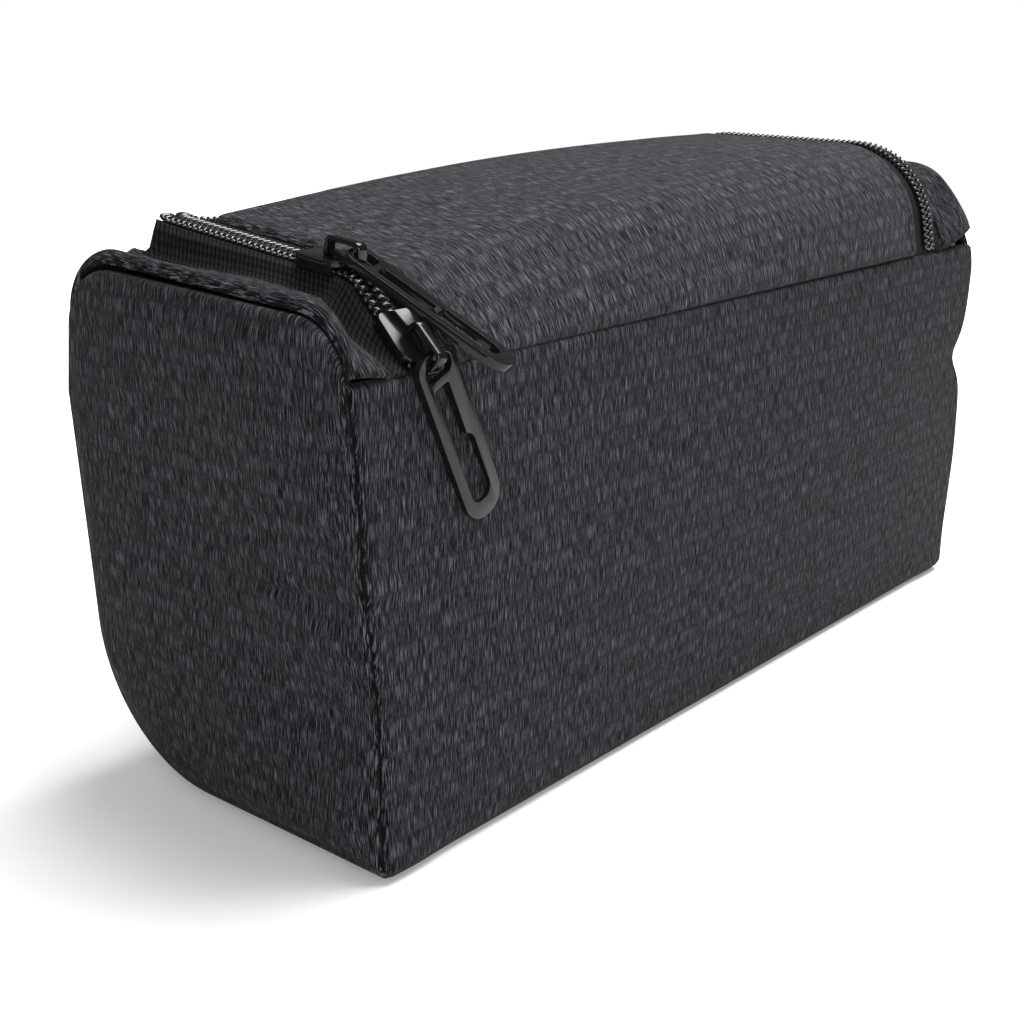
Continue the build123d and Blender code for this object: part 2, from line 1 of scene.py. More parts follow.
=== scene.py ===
from math import pi, radians, tan
import bmesh
import bpy
import numpy as np
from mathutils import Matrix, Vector


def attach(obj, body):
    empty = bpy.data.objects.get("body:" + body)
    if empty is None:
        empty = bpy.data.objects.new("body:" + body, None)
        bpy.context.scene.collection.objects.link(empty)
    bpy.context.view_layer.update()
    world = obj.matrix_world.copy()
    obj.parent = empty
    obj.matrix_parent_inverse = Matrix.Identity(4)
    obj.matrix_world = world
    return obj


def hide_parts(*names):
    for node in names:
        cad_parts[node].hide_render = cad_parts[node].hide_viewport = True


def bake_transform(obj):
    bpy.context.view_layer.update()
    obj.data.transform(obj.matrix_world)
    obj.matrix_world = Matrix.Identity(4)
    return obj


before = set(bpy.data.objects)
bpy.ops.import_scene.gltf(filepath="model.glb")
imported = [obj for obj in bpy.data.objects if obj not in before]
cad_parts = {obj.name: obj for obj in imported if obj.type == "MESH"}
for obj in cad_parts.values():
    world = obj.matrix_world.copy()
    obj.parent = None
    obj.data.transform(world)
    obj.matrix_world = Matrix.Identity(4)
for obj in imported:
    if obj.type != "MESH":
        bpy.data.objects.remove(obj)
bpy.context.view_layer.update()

scene = bpy.context.scene
mm = 0.001
tiny = 1e-9
print("stage 1: frame loaded")

# form of the filled bag, in millimetres; frontRadius is the outer cloth's lower front edge, innerRadius the
# inner layers'
bag = {
    "halfBase": 121.0, "frontY": -43.5, "backY": 43.5, "frontSeam": 98.5, "backSeam": 86.0, "endTop": 104.5,
    "endLean": 2.8, "topLean": 13.0, "frontRadius": 3.5, "innerRadius": 6.0, "backRadius": 34.0,
}
# thickness of each layer, and how deep each starts under the outer face
layers = {"cloth": 1.0, "foam": 1.7, "lining": 0.5}
layerDepth = {"foam": 1.35, "lining": 3.3, "inner": 3.95}
# shoulder corners of the top: inset, front rise, back rise, front radius, back radius; and the lid's crown
shoulders = {
    "end": (2.0, 12.0, 28.0, 13.0, 17.0),
    "left": (15.5, 15.5, 35.5, 6.0, 10.0),
    "right": (5.0, 28.0, 42.0, 24.0, 12.0),
    "lidRise": 2.0,
}
# line of the zip: its side runs, its height over the back seam, its bend, and what shows of half its tape
zipLine = {"left": -107.5, "right": 94.5, "rise": 38.0, "bend": 8.0, "show": 8.0, "half": 12.0}
# seam grooves: how far each cloth stops from the seam's corner, the rounds it turns under with, and the
# thickness and sides of the turned-in cloth at the bottom, which has the dark tape's colour as painted shade
seam = {"gap": 1.75, "round": 1.5, "flatRound": 1.5, "fold": 0.85, "foldSides": 8, "foldStep": 2.0}
# creases of the end seams: how far each moves the seam out, its height and its width; then the same for a
# step near the top; both start at y = frontFrom and are full frontRun nearer the front
seamCreases = {"left": ((-1.2, 36, 18),), "right": ((-4.5, 67, 8), (1.5, 38, 16))}
seamTop = {"left": (0.8, 84, 16), "right": (-7.0, 90, 20)}
frontFrom, frontRun = 18, 60
endX = bag["halfBase"] + bag["endTop"] * tan(radians(bag["endLean"]))


def smooth(t):
    # cubic ease from 0 to 1
    t = np.clip(t, 0, 1)
    return t * t * (3 - 2 * t)


def bump(x, centre, width):
    # bell curve of height 1
    return np.exp(-((x - centre) / width) ** 2)


def turned(edge, radius):
    # depth of a quarter circle that turns under an edge
    return radius - np.sqrt(np.maximum(radius ** 2 - np.clip(radius - edge, 0, radius) ** 2, 0))


def span(p, q):
    # length from p to q
    return np.linalg.norm(q - p, axis=-1)


def unitRows(vectors):
    return vectors / np.linalg.norm(vectors, axis=-1, keepdims=True)


def topValues(x):
    # the shoulder values at x: linear between the ends and the zip runs, with the lid's rise a half sine
    end, left, right = (np.array(shoulders[k]) for k in ("end", "left", "right"))
    x = np.asarray(x, float)
    show = zipLine["show"]
    outLeft, inLeft = zipLine["left"] - show, zipLine["left"] + show
    inRight, outRight = zipLine["right"] - show, zipLine["right"] + show
    leftShare = np.clip((outLeft - x) / (endX + outLeft), 0, 1)[..., None]
    rightShare = np.clip((x - outRight) / (endX - outRight), 0, 1)[..., None]
    across = np.clip((x - inLeft) / (inRight - inLeft), 0, 1)
    values = left + (right - left) * across[..., None]
    values = values + (end - values) * leftShare
    values = values + (end - values) * rightShare
    values[..., 1:3] += (shoulders["lidRise"] * np.sin(pi * across))[..., None]
    return values


def corner(before, point, after, radius):
    # tangent points, centre and turn of a rounded corner, for whole arrays of corners
    a, b = unitRows(before - point), unitRows(after - point)
    half = np.arccos(np.clip((a * b).sum(-1), -1, 1)) / 2
    reach = radius / np.tan(half)
    centre = point + unitRows(a + b) * (radius / np.sin(half))[..., None]
    return point + a * reach[..., None], point + b * reach[..., None], centre, pi - 2 * half


def topProfile(x):
    # the outline over the top at x: back seam, back shoulder, front shoulder, front seam, in the YZ plane
    v = topValues(x)
    lean = tan(radians(bag["topLean"]))
    zero = np.zeros(v.shape[:-1])
    start = np.stack([zero + bag["backY"], zero + bag["backSeam"]], -1)
    back = np.stack([bag["backY"] - v[..., 2] * lean, bag["backSeam"] + v[..., 2]], -1)
    front = np.stack([bag["frontY"] + v[..., 0], bag["frontSeam"] + v[..., 1]], -1)
    finish = np.stack([zero + bag["frontY"], zero + bag["frontSeam"]], -1)
    return start, back, front, finish, v[..., 4], v[..., 3]


def topLegs(x):
    # the outline over the top at x as five legs: straight back, rounded shoulder, straight top, rounded
    # shoulder, straight front; first and last point, centre and radius of each, and the length at its end
    start, back, front, finish, backRadius, frontRadius = topProfile(x)
    b0, b1, backCentre, backTurn = corner(start, back, front, backRadius)
    f0, f1, frontCentre, frontTurn = corner(back, front, finish, frontRadius)
    legs = (
        (start, b0, None, None), (b0, b1, backCentre, backRadius), (b1, f0, None, None),
        (f0, f1, frontCentre, frontRadius), (f1, finish, None, None))
    lengths = [
        span(start, b0), backTurn * backRadius, span(b1, f0), frontTurn * frontRadius, span(f1, finish)]
    return legs, np.cumsum(lengths, axis=0)


def topLength(x):
    # length of the outline over the top, from the back seam to the front seam
    return topLegs(x)[1][-1]


def topPoint(x, r, depth=0.0):
    # place on the top at x, a length r up from the back seam, depth under the outer face
    x, r = np.broadcast_arrays(np.asarray(x, float), np.asarray(r, float))
    legs, ends = topLegs(x)
    place = np.zeros(x.shape + (2,))
    way = np.zeros_like(place)
    for i, (first, last, centre, radius) in enumerate(legs):
        low = ends[i - 1] if i else 0 * ends[0]
        on = (r >= low) if i else np.ones(x.shape, bool)
        s = r - low
        if centre is None:
            along = (last - first) / np.maximum(span(first, last), tiny)[..., None]
            here = first + along * s[..., None]
        else:
            angle = s / radius
            arm = first - centre
            here = np.stack([
                centre[..., 0] + arm[..., 0] * np.cos(angle) - arm[..., 1] * np.sin(angle),
                centre[..., 1] + arm[..., 0] * np.sin(angle) + arm[..., 1] * np.cos(angle)], -1)
            along = np.stack([-(here - centre)[..., 1], (here - centre)[..., 0]], -1) / radius[..., None]
        place[on] = here[on]
        way[on] = along[on]
    out = np.stack([way[..., 1], -way[..., 0]], -1)
    place = place - out * np.asarray(depth)[..., None]
    return np.stack([x, place[..., 0], place[..., 1]], -1)


def seamX(side, y, z):
    # where an end's seam stands: leaning out, and drawn in or pushed out at the creases
    word = "right" if side > 0 else "left"
    x = bag["halfBase"] + z * tan(radians(bag["endLean"]))
    frontness = smooth((frontFrom - y) / frontRun)
    for move, height, width in seamCreases[word]:
        x = x + move * bump(z, height, width) * frontness
    move, height, run = seamTop[word]
    return side * (x + move * smooth((z - height) / run) * frontness)


def wallPoint(v, depth=0.0, inner=False):
    # outline of front, base and back in the YZ plane: v runs 0 to 1 from the front seam to the back seam; gives
    # the place, the outward direction and the whole length
    fr, br = bag["innerRadius" if inner else "frontRadius"], bag["backRadius"]
    legs = [bag["frontSeam"] - fr, fr * pi / 2, bag["backY"] - bag["frontY"] - fr - br, br * pi / 2,
            bag["backSeam"] - br]
    marks = np.concatenate([[0], np.cumsum(legs)])
    s = np.asarray(v, float) * marks[-1]
    a1 = (s - marks[1]) / fr
    a2 = (s - marks[3]) / br
    cases = [s <= marks[1], s <= marks[2], s <= marks[3], s <= marks[4]]
    y = np.select(cases, [
        bag["frontY"] + 0 * s, bag["frontY"] + fr - fr * np.cos(a1), bag["frontY"] + fr + s - marks[2],
        bag["backY"] - br + br * np.sin(a2)], bag["backY"])
    z = np.select(cases, [
        bag["frontSeam"] - s, fr - fr * np.sin(a1), 0 * s, br - br * np.cos(a2)], br + s - marks[4])
    ny = np.select(cases, [-1 + 0 * s, -np.cos(a1), 0 * s, np.sin(a2)], 1)
    nz = np.select(cases, [0 * s, -np.sin(a1), -1 + 0 * s, -np.cos(a2)], 0)
    return y - ny * depth, z - nz * depth, ny, nz, marks[-1]


print("stage 2: form worked out")


def gridFaces(rows, cols, wrap=False, closed=False):
    # quads of a grid of points, row by row; wrap joins the last column to the first, closed the last row
    rowStarts = np.arange(rows if closed else rows - 1)
    colStarts = np.arange(cols if wrap else cols - 1)
    i, j = np.meshgrid(rowStarts, colStarts, indexing="ij")
    nextI, nextJ = (i + 1) % rows, (j + 1) % cols
    quads = np.stack([i * cols + j, i * cols + nextJ, nextI * cols + nextJ, nextI * cols + j], -1)
    return quads.reshape(-1, 4)


def denseEnds(count, evenShare):
    # shares from 0 to 1, closer together towards both ends
    turn = np.cos(pi * np.linspace(0, 1, count))
    return 0.5 - 0.5 * turn * (evenShare + (1 - evenShare) * np.abs(turn))


def denseMiddle(count, pull):
    # shares from 0 to 1, closer together at both ends and in the middle
    t = np.linspace(0, 1, count)
    return t - pull * np.sin(4 * pi * t)


def tubePoints(line, way, up, radius, sides):
    # rings of points round a line that runs along way; up is any direction across it
    one = unitRows(np.cross(way, up))
    two = np.cross(one, way)
    ring = np.linspace(0, 2 * pi, sides, endpoint=False)[None, :, None]
    return line[:, None] + radius * (one[:, None] * np.cos(ring) + two[:, None] * np.sin(ring))


def makeMesh(name, points, faces, uv=None, material=None, flip=False):
    # points in millimetres to a smooth mesh object at the origin, with its own UV map in millimetres; faces
    # are an array of quads, or a list where their sizes differ
    if flip:
        faces = faces[:, ::-1]
    if isinstance(faces, np.ndarray):
        faces = faces.tolist()
    mesh = bpy.data.meshes.new(name)
    mesh.from_pydata((points.reshape(-1, 3) * mm).tolist(), [], faces)
    mesh.polygons.foreach_set("use_smooth", np.ones(len(mesh.polygons), bool))
    if uv is not None:
        layer = mesh.uv_layers.new(name="weave")
        index = np.empty(len(mesh.loops), np.int32)
        mesh.loops.foreach_get("vertex_index", index)
        layer.data.foreach_set("uv", uv.reshape(-1, 2)[index].astype(np.float32).ravel())
    mesh.update()
    obj = bpy.data.objects.new(name, mesh)
    scene.collection.objects.link(obj)
    if material:
        mesh.materials.append(material)
    return obj


def gridSheet(name, points, uv, material, flip=False):
    return makeMesh(name, points, gridFaces(*points.shape[:2]), uv, material, flip)


def thicken(obj, thickness):
    # wall thickness inwards from the outer face
    wall = obj.modifiers.new("wall", "SOLIDIFY")
    wall.thickness = thickness * mm
    wall.offset = -1
    wall.use_even_offset = False


# how the cloth swells: frames, stiffness, and the share of points that the largest move is taken from
swelling = {"frames": 14, "quality": 4, "mass": 0.2, "stiffness": 12, "bending": 0.4, "share": 99.5}


def puff(points, faces, held, pressure, most, name):
    # cloth simulation: the sheet is held at its seams and swells under pressure; its moves, scaled so that
    # the largest is most millimetres, are added to the sheet
    a = swelling
    obj = makeMesh(name, points, faces)
    group = obj.vertex_groups.new(name="seam")
    group.add(np.flatnonzero(held.ravel()).tolist(), 1.0, "REPLACE")
    cloth = obj.modifiers.new("cloth", "CLOTH")
    settings = cloth.settings
    settings.quality = a["quality"]
    settings.mass = a["mass"]
    settings.tension_stiffness = settings.compression_stiffness = a["stiffness"]
    settings.bending_stiffness = a["bending"]
    settings.vertex_group_mass = "seam"
    settings.use_pressure = True
    settings.uniform_pressure_force = pressure
    settings.effector_weights.gravity = 0.0
    cloth.point_cache.frame_start, cloth.point_cache.frame_end = 1, a["frames"]
    for f in range(1, a["frames"] + 1):
        scene.frame_set(f)
    shown = obj.evaluated_get(bpy.context.evaluated_depsgraph_get())
    mesh = shown.to_mesh()
    co = np.empty(len(mesh.vertices) * 3)
    mesh.vertices.foreach_get("co", co)
    shown.to_mesh_clear()
    bpy.data.objects.remove(obj)
    scene.frame_set(1)
    flat = points.reshape(-1, 3)
    move = co.reshape(-1, 3) / mm - flat
    length = np.linalg.norm(move, axis=1)
    top = np.percentile(length, a["share"]) + tiny
    move *= (np.minimum(length, top) / np.maximum(length, tiny) * most / top)[:, None]
    print("  ", name, "swelled, largest move before scaling", round(float(top), 2), "mm")
    return (flat + move).reshape(points.shape)


# shader node groups, each built once
def newGroup(name, colors):
    # a group from a vector and some colours to a colour and a height
    tree = bpy.data.node_groups.new(name, "ShaderNodeTree")
    tree.interface.new_socket("Vector", in_out="INPUT", socket_type="NodeSocketVector")
    for label, value in colors.items():
        socket = tree.interface.new_socket(label, in_out="INPUT", socket_type="NodeSocketColor")
        socket.default_value = value
    tree.interface.new_socket("Color", in_out="OUTPUT", socket_type="NodeSocketColor")
    tree.interface.new_socket("Height", in_out="OUTPUT", socket_type="NodeSocketFloat")
    return tree, tree.nodes.new("NodeGroupInput"), tree.nodes.new("NodeGroupOutput")


def feed(tree, socket, value):
    # a number or colour goes onto the socket, an output is linked to it
    if isinstance(value, (int, float, tuple)):
        socket.default_value = value
    elif value is not None:
        tree.links.new(value, socket)


def mathNode(tree, kind, a, b=None):
    node = tree.nodes.new("ShaderNodeMath")
    node.operation = kind
    feed(tree, node.inputs[0], a)
    feed(tree, node.inputs[1], b)
    return node.outputs[0]


def rangeNode(tree, value, low, high, newLow=0.0, newHigh=1.0):
    node = tree.nodes.new("ShaderNodeMapRange")
    for i, number in enumerate((value, low, high, newLow, newHigh)):
        feed(tree, node.inputs[i], number)
    return node.outputs[0]


def mixNode(tree, share, a, b):
    node = tree.nodes.new("ShaderNodeMix")
    node.data_type = "RGBA"
    for index, value in ((0, share), (6, a), (7, b)):
        feed(tree, node.inputs[index], value)
    return node.outputs[2]


def times(tree, a, b):
    return mathNode(tree, "MULTIPLY", a, b)


def weighted(tree, a, weightA, b, weightB):
    # sum of two values, each times its weight
    return mathNode(tree, "ADD", times(tree, a, weightA), times(tree, b, weightB))


def stretchedNoise(tree, vector, scale, amount, detail=3.0, rough=0.6):
    # noise on coordinates stretched to streaks
    mapping = tree.nodes.new("ShaderNodeMapping")
    mapping.inputs["Scale"].default_value = scale
    tree.links.new(vector, mapping.inputs["Vector"])
    noise = tree.nodes.new("ShaderNodeTexNoise")
    noise.inputs["Scale"].default_value = amount
    noise.inputs["Detail"].default_value = detail
    noise.inputs["Roughness"].default_value = rough
    tree.links.new(mapping.outputs[0], noise.inputs["Vector"])
    return noise.outputs[0]


unstretched = (1.0, 1.0, 1.0)
# dark yarns, body and light flecks of each heather cloth: one cloth, the lid's set painted lighter for the
# light from above and the walls' set painted darker as shade
clothColors = {
    "heatherWallPaintedShade": ((0.0004, 0.0005, 0.0008, 1), (0.007, 0.0072, 0.0088, 1), (0.112, 0.115, 0.128, 1)),
    "heatherLidPaintedLight": ((0.0008, 0.0009, 0.0013, 1), (0.011, 0.0113, 0.0132, 1), (0.144, 0.147, 0.161, 1)),
}
# heather: stretch, scale, detail and roughness of each noise, the range of each that shows, and its relief
heatherShape = {
    "yarn": ((1.0, 0.036, 1.0), 5.6, 2.0, 0.7), "fibre": ((1.0, 0.034, 1.0), 8.2, 2.0, 0.6),
    "patch": ((1.0, 0.1, 1.0), 0.9, 4.0, 0.7), "weft": ((0.3, 1.0, 1.0), 2.6, 1.0, 0.5),
    "bodyShows": (0.42, 0.6), "lightShows": (0.5, 0.63), "patchShows": (0.35, 0.65, 0.4, 1.0),
    "shade": (0.3, 0.7, 0.88, 1.1), "yarnRelief": 0.7, "weftRelief": 0.5,
}
# twill: its two colours, how close its ribs and threads lie, its fuzz, its relief, and the range that shows
twillShape = {
    "dark": (0.0015, 0.0015, 0.002, 1), "light": (0.017, 0.017, 0.018, 1), "rib": 5.2, "thread": 9.5,
    "fuzz": (1.6, 3.0, 0.6), "ribRelief": 0.35, "threadRelief": 0.2, "shows": (0.15, 1.1),
}


def heatherGroup():
    # heather: fine light and dark yarns that run along V, uneven patches and the ribs of the weave
    a = heatherShape
    colors = dict(zip(("Dark", "Body", "Light"), clothColors["heatherWallPaintedShade"]))
    tree, given, out = newGroup("heatherWeave", colors)
    yarn, fibre, patch, weft = (
        stretchedNoise(tree, given.outputs["Vector"], *a[k]) for k in ("yarn", "fibre", "patch", "weft"))
    tone = mixNode(tree, rangeNode(tree, yarn, *a["bodyShows"]), given.outputs["Dark"], given.outputs["Body"])
    fleck = rangeNode(tree, fibre, *a["lightShows"])
    light = times(tree, fleck, rangeNode(tree, patch, *a["patchShows"]))
    scaled = tree.nodes.new("ShaderNodeVectorMath")
    scaled.operation = "SCALE"
    feed(tree, scaled.inputs[0], mixNode(tree, light, tone, given.outputs["Light"]))
    feed(tree, scaled.inputs["Scale"], rangeNode(tree, weft, *a["shade"]))
    feed(tree, out.inputs["Color"], scaled.outputs[0])
    feed(tree, out.inputs["Height"], weighted(tree, yarn, a["yarnRelief"], weft, a["weftRelief"]))
    return tree


def twillGroup():
    # twill: slanted ribs crossed by finer threads
    a = twillShape
    tree, given, out = newGroup("twillTape", {"Dark": a["dark"], "Light": a["light"]})
    split = tree.nodes.new("ShaderNodeSeparateXYZ")
    feed(tree, split.inputs[0], given.outputs["Vector"])
    slanted = mathNode(tree, "ADD", split.outputs[1], split.outputs[0])
    rib = mathNode(tree, "SINE", times(tree, slanted, a["rib"]))
    thread = mathNode(tree, "SINE", times(tree, split.outputs[0], a["thread"]))
    fuzz = stretchedNoise(tree, given.outputs["Vector"], unstretched, *a["fuzz"])
    high = mathNode(tree, "ADD", weighted(tree, rib, a["ribRelief"], thread, a["threadRelief"]), fuzz)
    shows = rangeNode(tree, high, *a["shows"])
    feed(tree, out.inputs["Color"], mixNode(tree, shows, given.outputs["Dark"], given.outputs["Light"]))
    feed(tree, out.inputs["Height"], high)
    return tree


heather = heatherGroup()
twill = twillGroup()


def newMaterial(name, values):
    # a material and its shader, with the constant values on the shader's own sockets
    mat = bpy.data.materials.new(name)
    mat.use_nodes = True
    shader = mat.node_tree.nodes["Principled BSDF"]
    for label, value in values.items():
        shader.inputs[label].default_value = value
    return mat, mat.node_tree, shader


def bumpInto(tree, shader, height, strength, distance):
    node = tree.nodes.new("ShaderNodeBump")
    node.inputs["Strength"].default_value = strength
    node.inputs["Distance"].default_value = distance
    tree.links.new(height, node.inputs["Height"])
    tree.links.new(node.outputs[0], shader.inputs["Normal"])


def uvVector(tree):
    node = tree.nodes.new("ShaderNodeUVMap")
    node.uv_map = "weave"
    return node.outputs[0]


def wovenMaterial(name, look, group, colors, bumps):
    # a weave from a node group, on the piece's own UV map
    mat, tree, shader = newMaterial(name, look)
    node = tree.nodes.new("ShaderNodeGroup")
    node.node_tree = group
    feed(tree, node.inputs["Vector"], uvVector(tree))
    for label, value in colors.items():
        node.inputs[label].default_value = value
    feed(tree, shader.inputs["Base Color"], node.outputs["Color"])
    bumpInto(tree, shader, node.outputs["Height"], *bumps)
    return mat


def colorBetween(tree, shader, share, dark, light):
    # base colour from dark to light, by a share
    feed(tree, shader.inputs["Base Color"], mixNode(tree, share, dark, light))


# strength and depth in metres of each material's relief
relief = {
    "cloth": (0.5, 0.00025), "tape": (0.6, 0.0002), "lining": (0.5, 0.0012), "foam": (0.7, 0.0005),
    "metal": (0.1, 0.00003), "net": (0.4, 0.0003),
}
# values of the shader's sockets for the two weaves
clothLook = {"Roughness": 0.82, "Sheen Weight": 0.02, "Sheen Roughness": 0.4, "Specular IOR Level": 0.08}
tapeLook = {"Base Color": (0.02, 0.02, 0.02, 1), "Roughness": 0.75, "Specular IOR Level": 0.12}


def clothMaterial(name):
    dark, body, light = clothColors[name]
    colors = {"Dark": dark, "Body": body, "Light": light}
    return wovenMaterial(name, {"Base Color": body, **clothLook}, heather, colors, relief["cloth"])


def liningMaterial():
    # taffeta: fine warp threads over soft folds
    look = {"Base Color": (0.03, 0.031, 0.035, 1), "Roughness": 0.5}
    mat, tree, shader = newMaterial("taffetaLining", look)
    warpRelief = 0.1
    vector = uvVector(tree)
    warp = stretchedNoise(tree, vector, (1.0, 0.2, 1.0), 3.0, 2.0)
    fold = stretchedNoise(tree, vector, (0.04, 0.02, 1.0), 1.0, 2.0)
    colorBetween(tree, shader, warp, (0.02, 0.021, 0.024, 1), (0.05, 0.052, 0.058, 1))
    bumpInto(tree, shader, weighted(tree, warp, warpRelief, fold, 1.0), *relief["lining"])
    return mat


def foamMaterial():
    mat, tree, shader = newMaterial("paddingFoam", {"Base Color": (0.55, 0.55, 0.52, 1), "Roughness": 0.95})
    cells = stretchedNoise(tree, uvVector(tree), unstretched, 1.4, 4.0, 0.7)
    colorBetween(tree, shader, cells, (0.38, 0.38, 0.35, 1), (0.68, 0.68, 0.64, 1))
    bumpInto(tree, shader, cells, *relief["foam"])
    return mat


# glossy materials: socket values, scale and detail of the wear, what of it sets which roughness, and its
# dark and light colour
glossy = {
    "nylonCoil": (
        {"Base Color": (0.012, 0.012, 0.013, 1), "Roughness": 0.22, "Coat Weight": 0.5,
         "Coat Roughness": 0.1},
        (900.0, 2.0), (0.3, 0.7, 0.15, 0.3), (0.008, 0.008, 0.009, 1), (0.02, 0.02, 0.022, 1)),
    "blackLacquer": (
        {"Base Color": (0.004, 0.004, 0.0045, 1), "Roughness": 0.12, "Specular IOR Level": 0.34},
        (420.0, 4.0), (0.3, 0.75, 0.1, 0.18), (0.003, 0.003, 0.0035, 1), (0.008, 0.008, 0.009, 1)),
}


def glossyMaterial(name, bumps=None):
    # even wear in the object's own space, in metres; bumps adds it as relief
    look, noise, shows, dark, light = glossy[name]
    mat, tree, shader = newMaterial(name, look)
    coord = tree.nodes.new("ShaderNodeTexCoord")
    wear = stretchedNoise(tree, coord.outputs["Object"], unstretched, *noise)
    feed(tree, shader.inputs["Roughness"], rangeNode(tree, wear, *shows))
    colorBetween(tree, shader, wear, dark, light)
    if bumps:
        bumpInto(tree, shader, wear, *bumps)
    return mat


def meshMaterial():
    # open net: round holes on a staggered grid, cut with alpha
    closeX, closeZ = 3.2, 2.2  # how close the holes lie
    mat, tree, shader = newMaterial("pocketNet", {"Base Color": (0.02, 0.02, 0.022, 1), "Roughness": 0.7})
    vector = uvVector(tree)
    split = tree.nodes.new("ShaderNodeSeparateXYZ")
    feed(tree, split.inputs[0], vector)
    a = mathNode(tree, "SINE", times(tree, split.outputs[0], closeX))
    b = mathNode(tree, "SINE", times(tree, split.outputs[1], closeZ))
    hole = times(tree, a, b)
    feed(tree, shader.inputs["Alpha"], rangeNode(tree, hole, 0.3, 0.4, 1.0, 0.0))
    fuzz = stretchedNoise(tree, vector, unstretched, 2.0, 2.0)
    colorBetween(tree, shader, fuzz, (0.012, 0.012, 0.014, 1), (0.045, 0.045, 0.05, 1))
    bumpInto(tree, shader, hole, *relief["net"])
    return mat


# one heather cloth in two copies: the walls' with painted shade, the lid's with painted light from above
wallClothPaintedShade = clothMaterial("heatherWallPaintedShade")
lidClothPaintedLight = clothMaterial("heatherLidPaintedLight")
tapeCloth = wovenMaterial("twillTape", tapeLook, twill, {}, relief["tape"])
liningCloth = liningMaterial()
foamCloth = foamMaterial()
coilNylon = glossyMaterial("nylonCoil")
blackMetal = glossyMaterial("blackLacquer", relief["metal"])
pocketNet = meshMaterial()
print("stage 3: materials made")


def declare(piece, node, body="bag_body"):
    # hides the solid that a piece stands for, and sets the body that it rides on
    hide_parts(node)
    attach(piece, body)


def threeLayers(names, nodes, sheets, faces, cloth, flip=False):
    # outer cloth, padding and lining of a panel, each with its thickness, and the solids that they stand for
    # hidden
    looks = (
        (cloth, layers["cloth"], "heather_cloth"), (foamCloth, layers["foam"], "padding_foam"),
        (liningCloth, layers["lining"], "lining_cloth"))
    pieces = []
    for name, stands, (points, uv), (material, thickness, slotName) in zip(names, nodes, sheets, looks):
        piece = makeMesh(name, points, faces, uv, material, flip)
        thicken(piece, thickness)
        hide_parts(*stands)
        pieces.append(piece)
    return pieces


# wrap: front, base and back in one sheet; softEdge, softTop and softBase are how far its bulge takes to build
# up from the end seams, the front seam and the base
wrapShape = {
    "columns": 150, "rows": 150, "evenShare": 0.55, "pull": 0.035, "pressure": 3.0, "swell": 1.6,
    "held": 2.0, "heldBase": 1.5, "bulge": 1.2, "softEdge": 40, "softTop": 25, "softBase": 30,
    "wave": 0.5, "waveLengths": (23, 31, 17), "pucker": 0.22, "puckerLengths": (3.6, 11, 6.1),
    "puckerAt": 8, "puckerWide": 6, "baseLift": 0.15,
}
# how far the inner layers stop from the end seams and from the front and back seams
wrapInset = {"foam": (5.0, 7.0), "lining": (4.0, 6.0)}
# creases in the front: how far each stands out, its height and half width, its place and half length along x
frontCreases = ((-0.9, 55.5, 2.2, -122, 7), (0.5, 60.0, 3.0, -120, 8), (-1.2, 66, 4, 122, 10))


def wrapPoints(depth, inset, topDrop=0.0, outer=False):
    # u runs from end seam to end seam, v down the front, under the base and up the back; the outer cloth
    # turns under at its seams, and every layer bulges a little at the front, with waves, puckers and creases
    a = wrapShape
    length = wallPoint(0.0)[4]
    v = topDrop / length + denseMiddle(a["rows"], a["pull"]) * (1 - 2 * topDrop / length)
    U, V = np.meshgrid(denseEnds(a["columns"], a["evenShare"]), v, indexing="xy")
    y, z, ny, nz, length = wallPoint(V, 0.0, not outer)
    left, right = seamX(-1, y, z) + inset, seamX(1, y, z) - inset
    x = left + (right - left) * U
    edge = np.minimum(x - left, right - x)
    ends = np.minimum(V, 1 - V) * length
    roll = 0.0
    if outer:
        roll = turned(edge, seam["round"]) + turned(ends, seam["flatRound"])
    front = ny < -0.5
    soft = smooth(edge / a["softEdge"]) * smooth(V * length / a["softTop"])
    soft = soft * smooth((bag["frontSeam"] - V * length) / a["softBase"])
    alongX, alongZ, down = a["waveLengths"]
    wave = np.sin(x / alongX + z / alongZ) * np.sin(z / down + 1)
    bulge = np.where(front, soft, 0) * (a["bulge"] + a["wave"] * wave)
    first, drift, second = a["puckerLengths"]
    pucker = np.sin(z / first + 1.6 * np.sin(z / drift)) + 0.6 * np.sin(z / second + 2)
    beside = bump(edge, a["puckerAt"], a["puckerWide"]) * smooth(ends / 10)
    bulge = bulge + a["pucker"] * pucker * beside * front
    for out, height, halfWide, place, halfLong in frontCreases:
        bulge = bulge + out * bump(z, height, halfWide) * bump(x, place, halfLong) * front
    bulge = np.where(nz < -0.99, -a["baseLift"], bulge)
    off = depth + roll - bulge
    points = np.stack([x, y - ny * off, z - nz * off], -1)
    return points, np.stack([x, V * length], -1), edge, ends


faces = gridFaces(wrapShape["rows"], wrapShape["columns"])[:, ::-1]
points, uv, edge, ends = wrapPoints(0.0, seam["gap"], outer=True)
held = (edge < wrapShape["held"]) | (ends < wrapShape["held"]) | (points[..., 2] < wrapShape["heldBase"])
puffed = puff(points, faces, held, wrapShape["pressure"], wrapShape["swell"], "wrapSwell")
puffed[..., 2] = np.maximum(puffed[..., 2], 0.0)
sheets = [(puffed, uv)] + [wrapPoints(layerDepth[k], *wrapInset[k])[:2] for k in ("foam", "lining")]
names = ("outerWrap", "wrapPadding", "wrapLining")
nodes = (("main_wrap",), ("wrap_foam",), ("wrap_lining",))
for piece in threeLayers(names, nodes, sheets, faces, wallClothPaintedShade):
    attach(piece, "bag_body")
print("stage 4: wrap made")

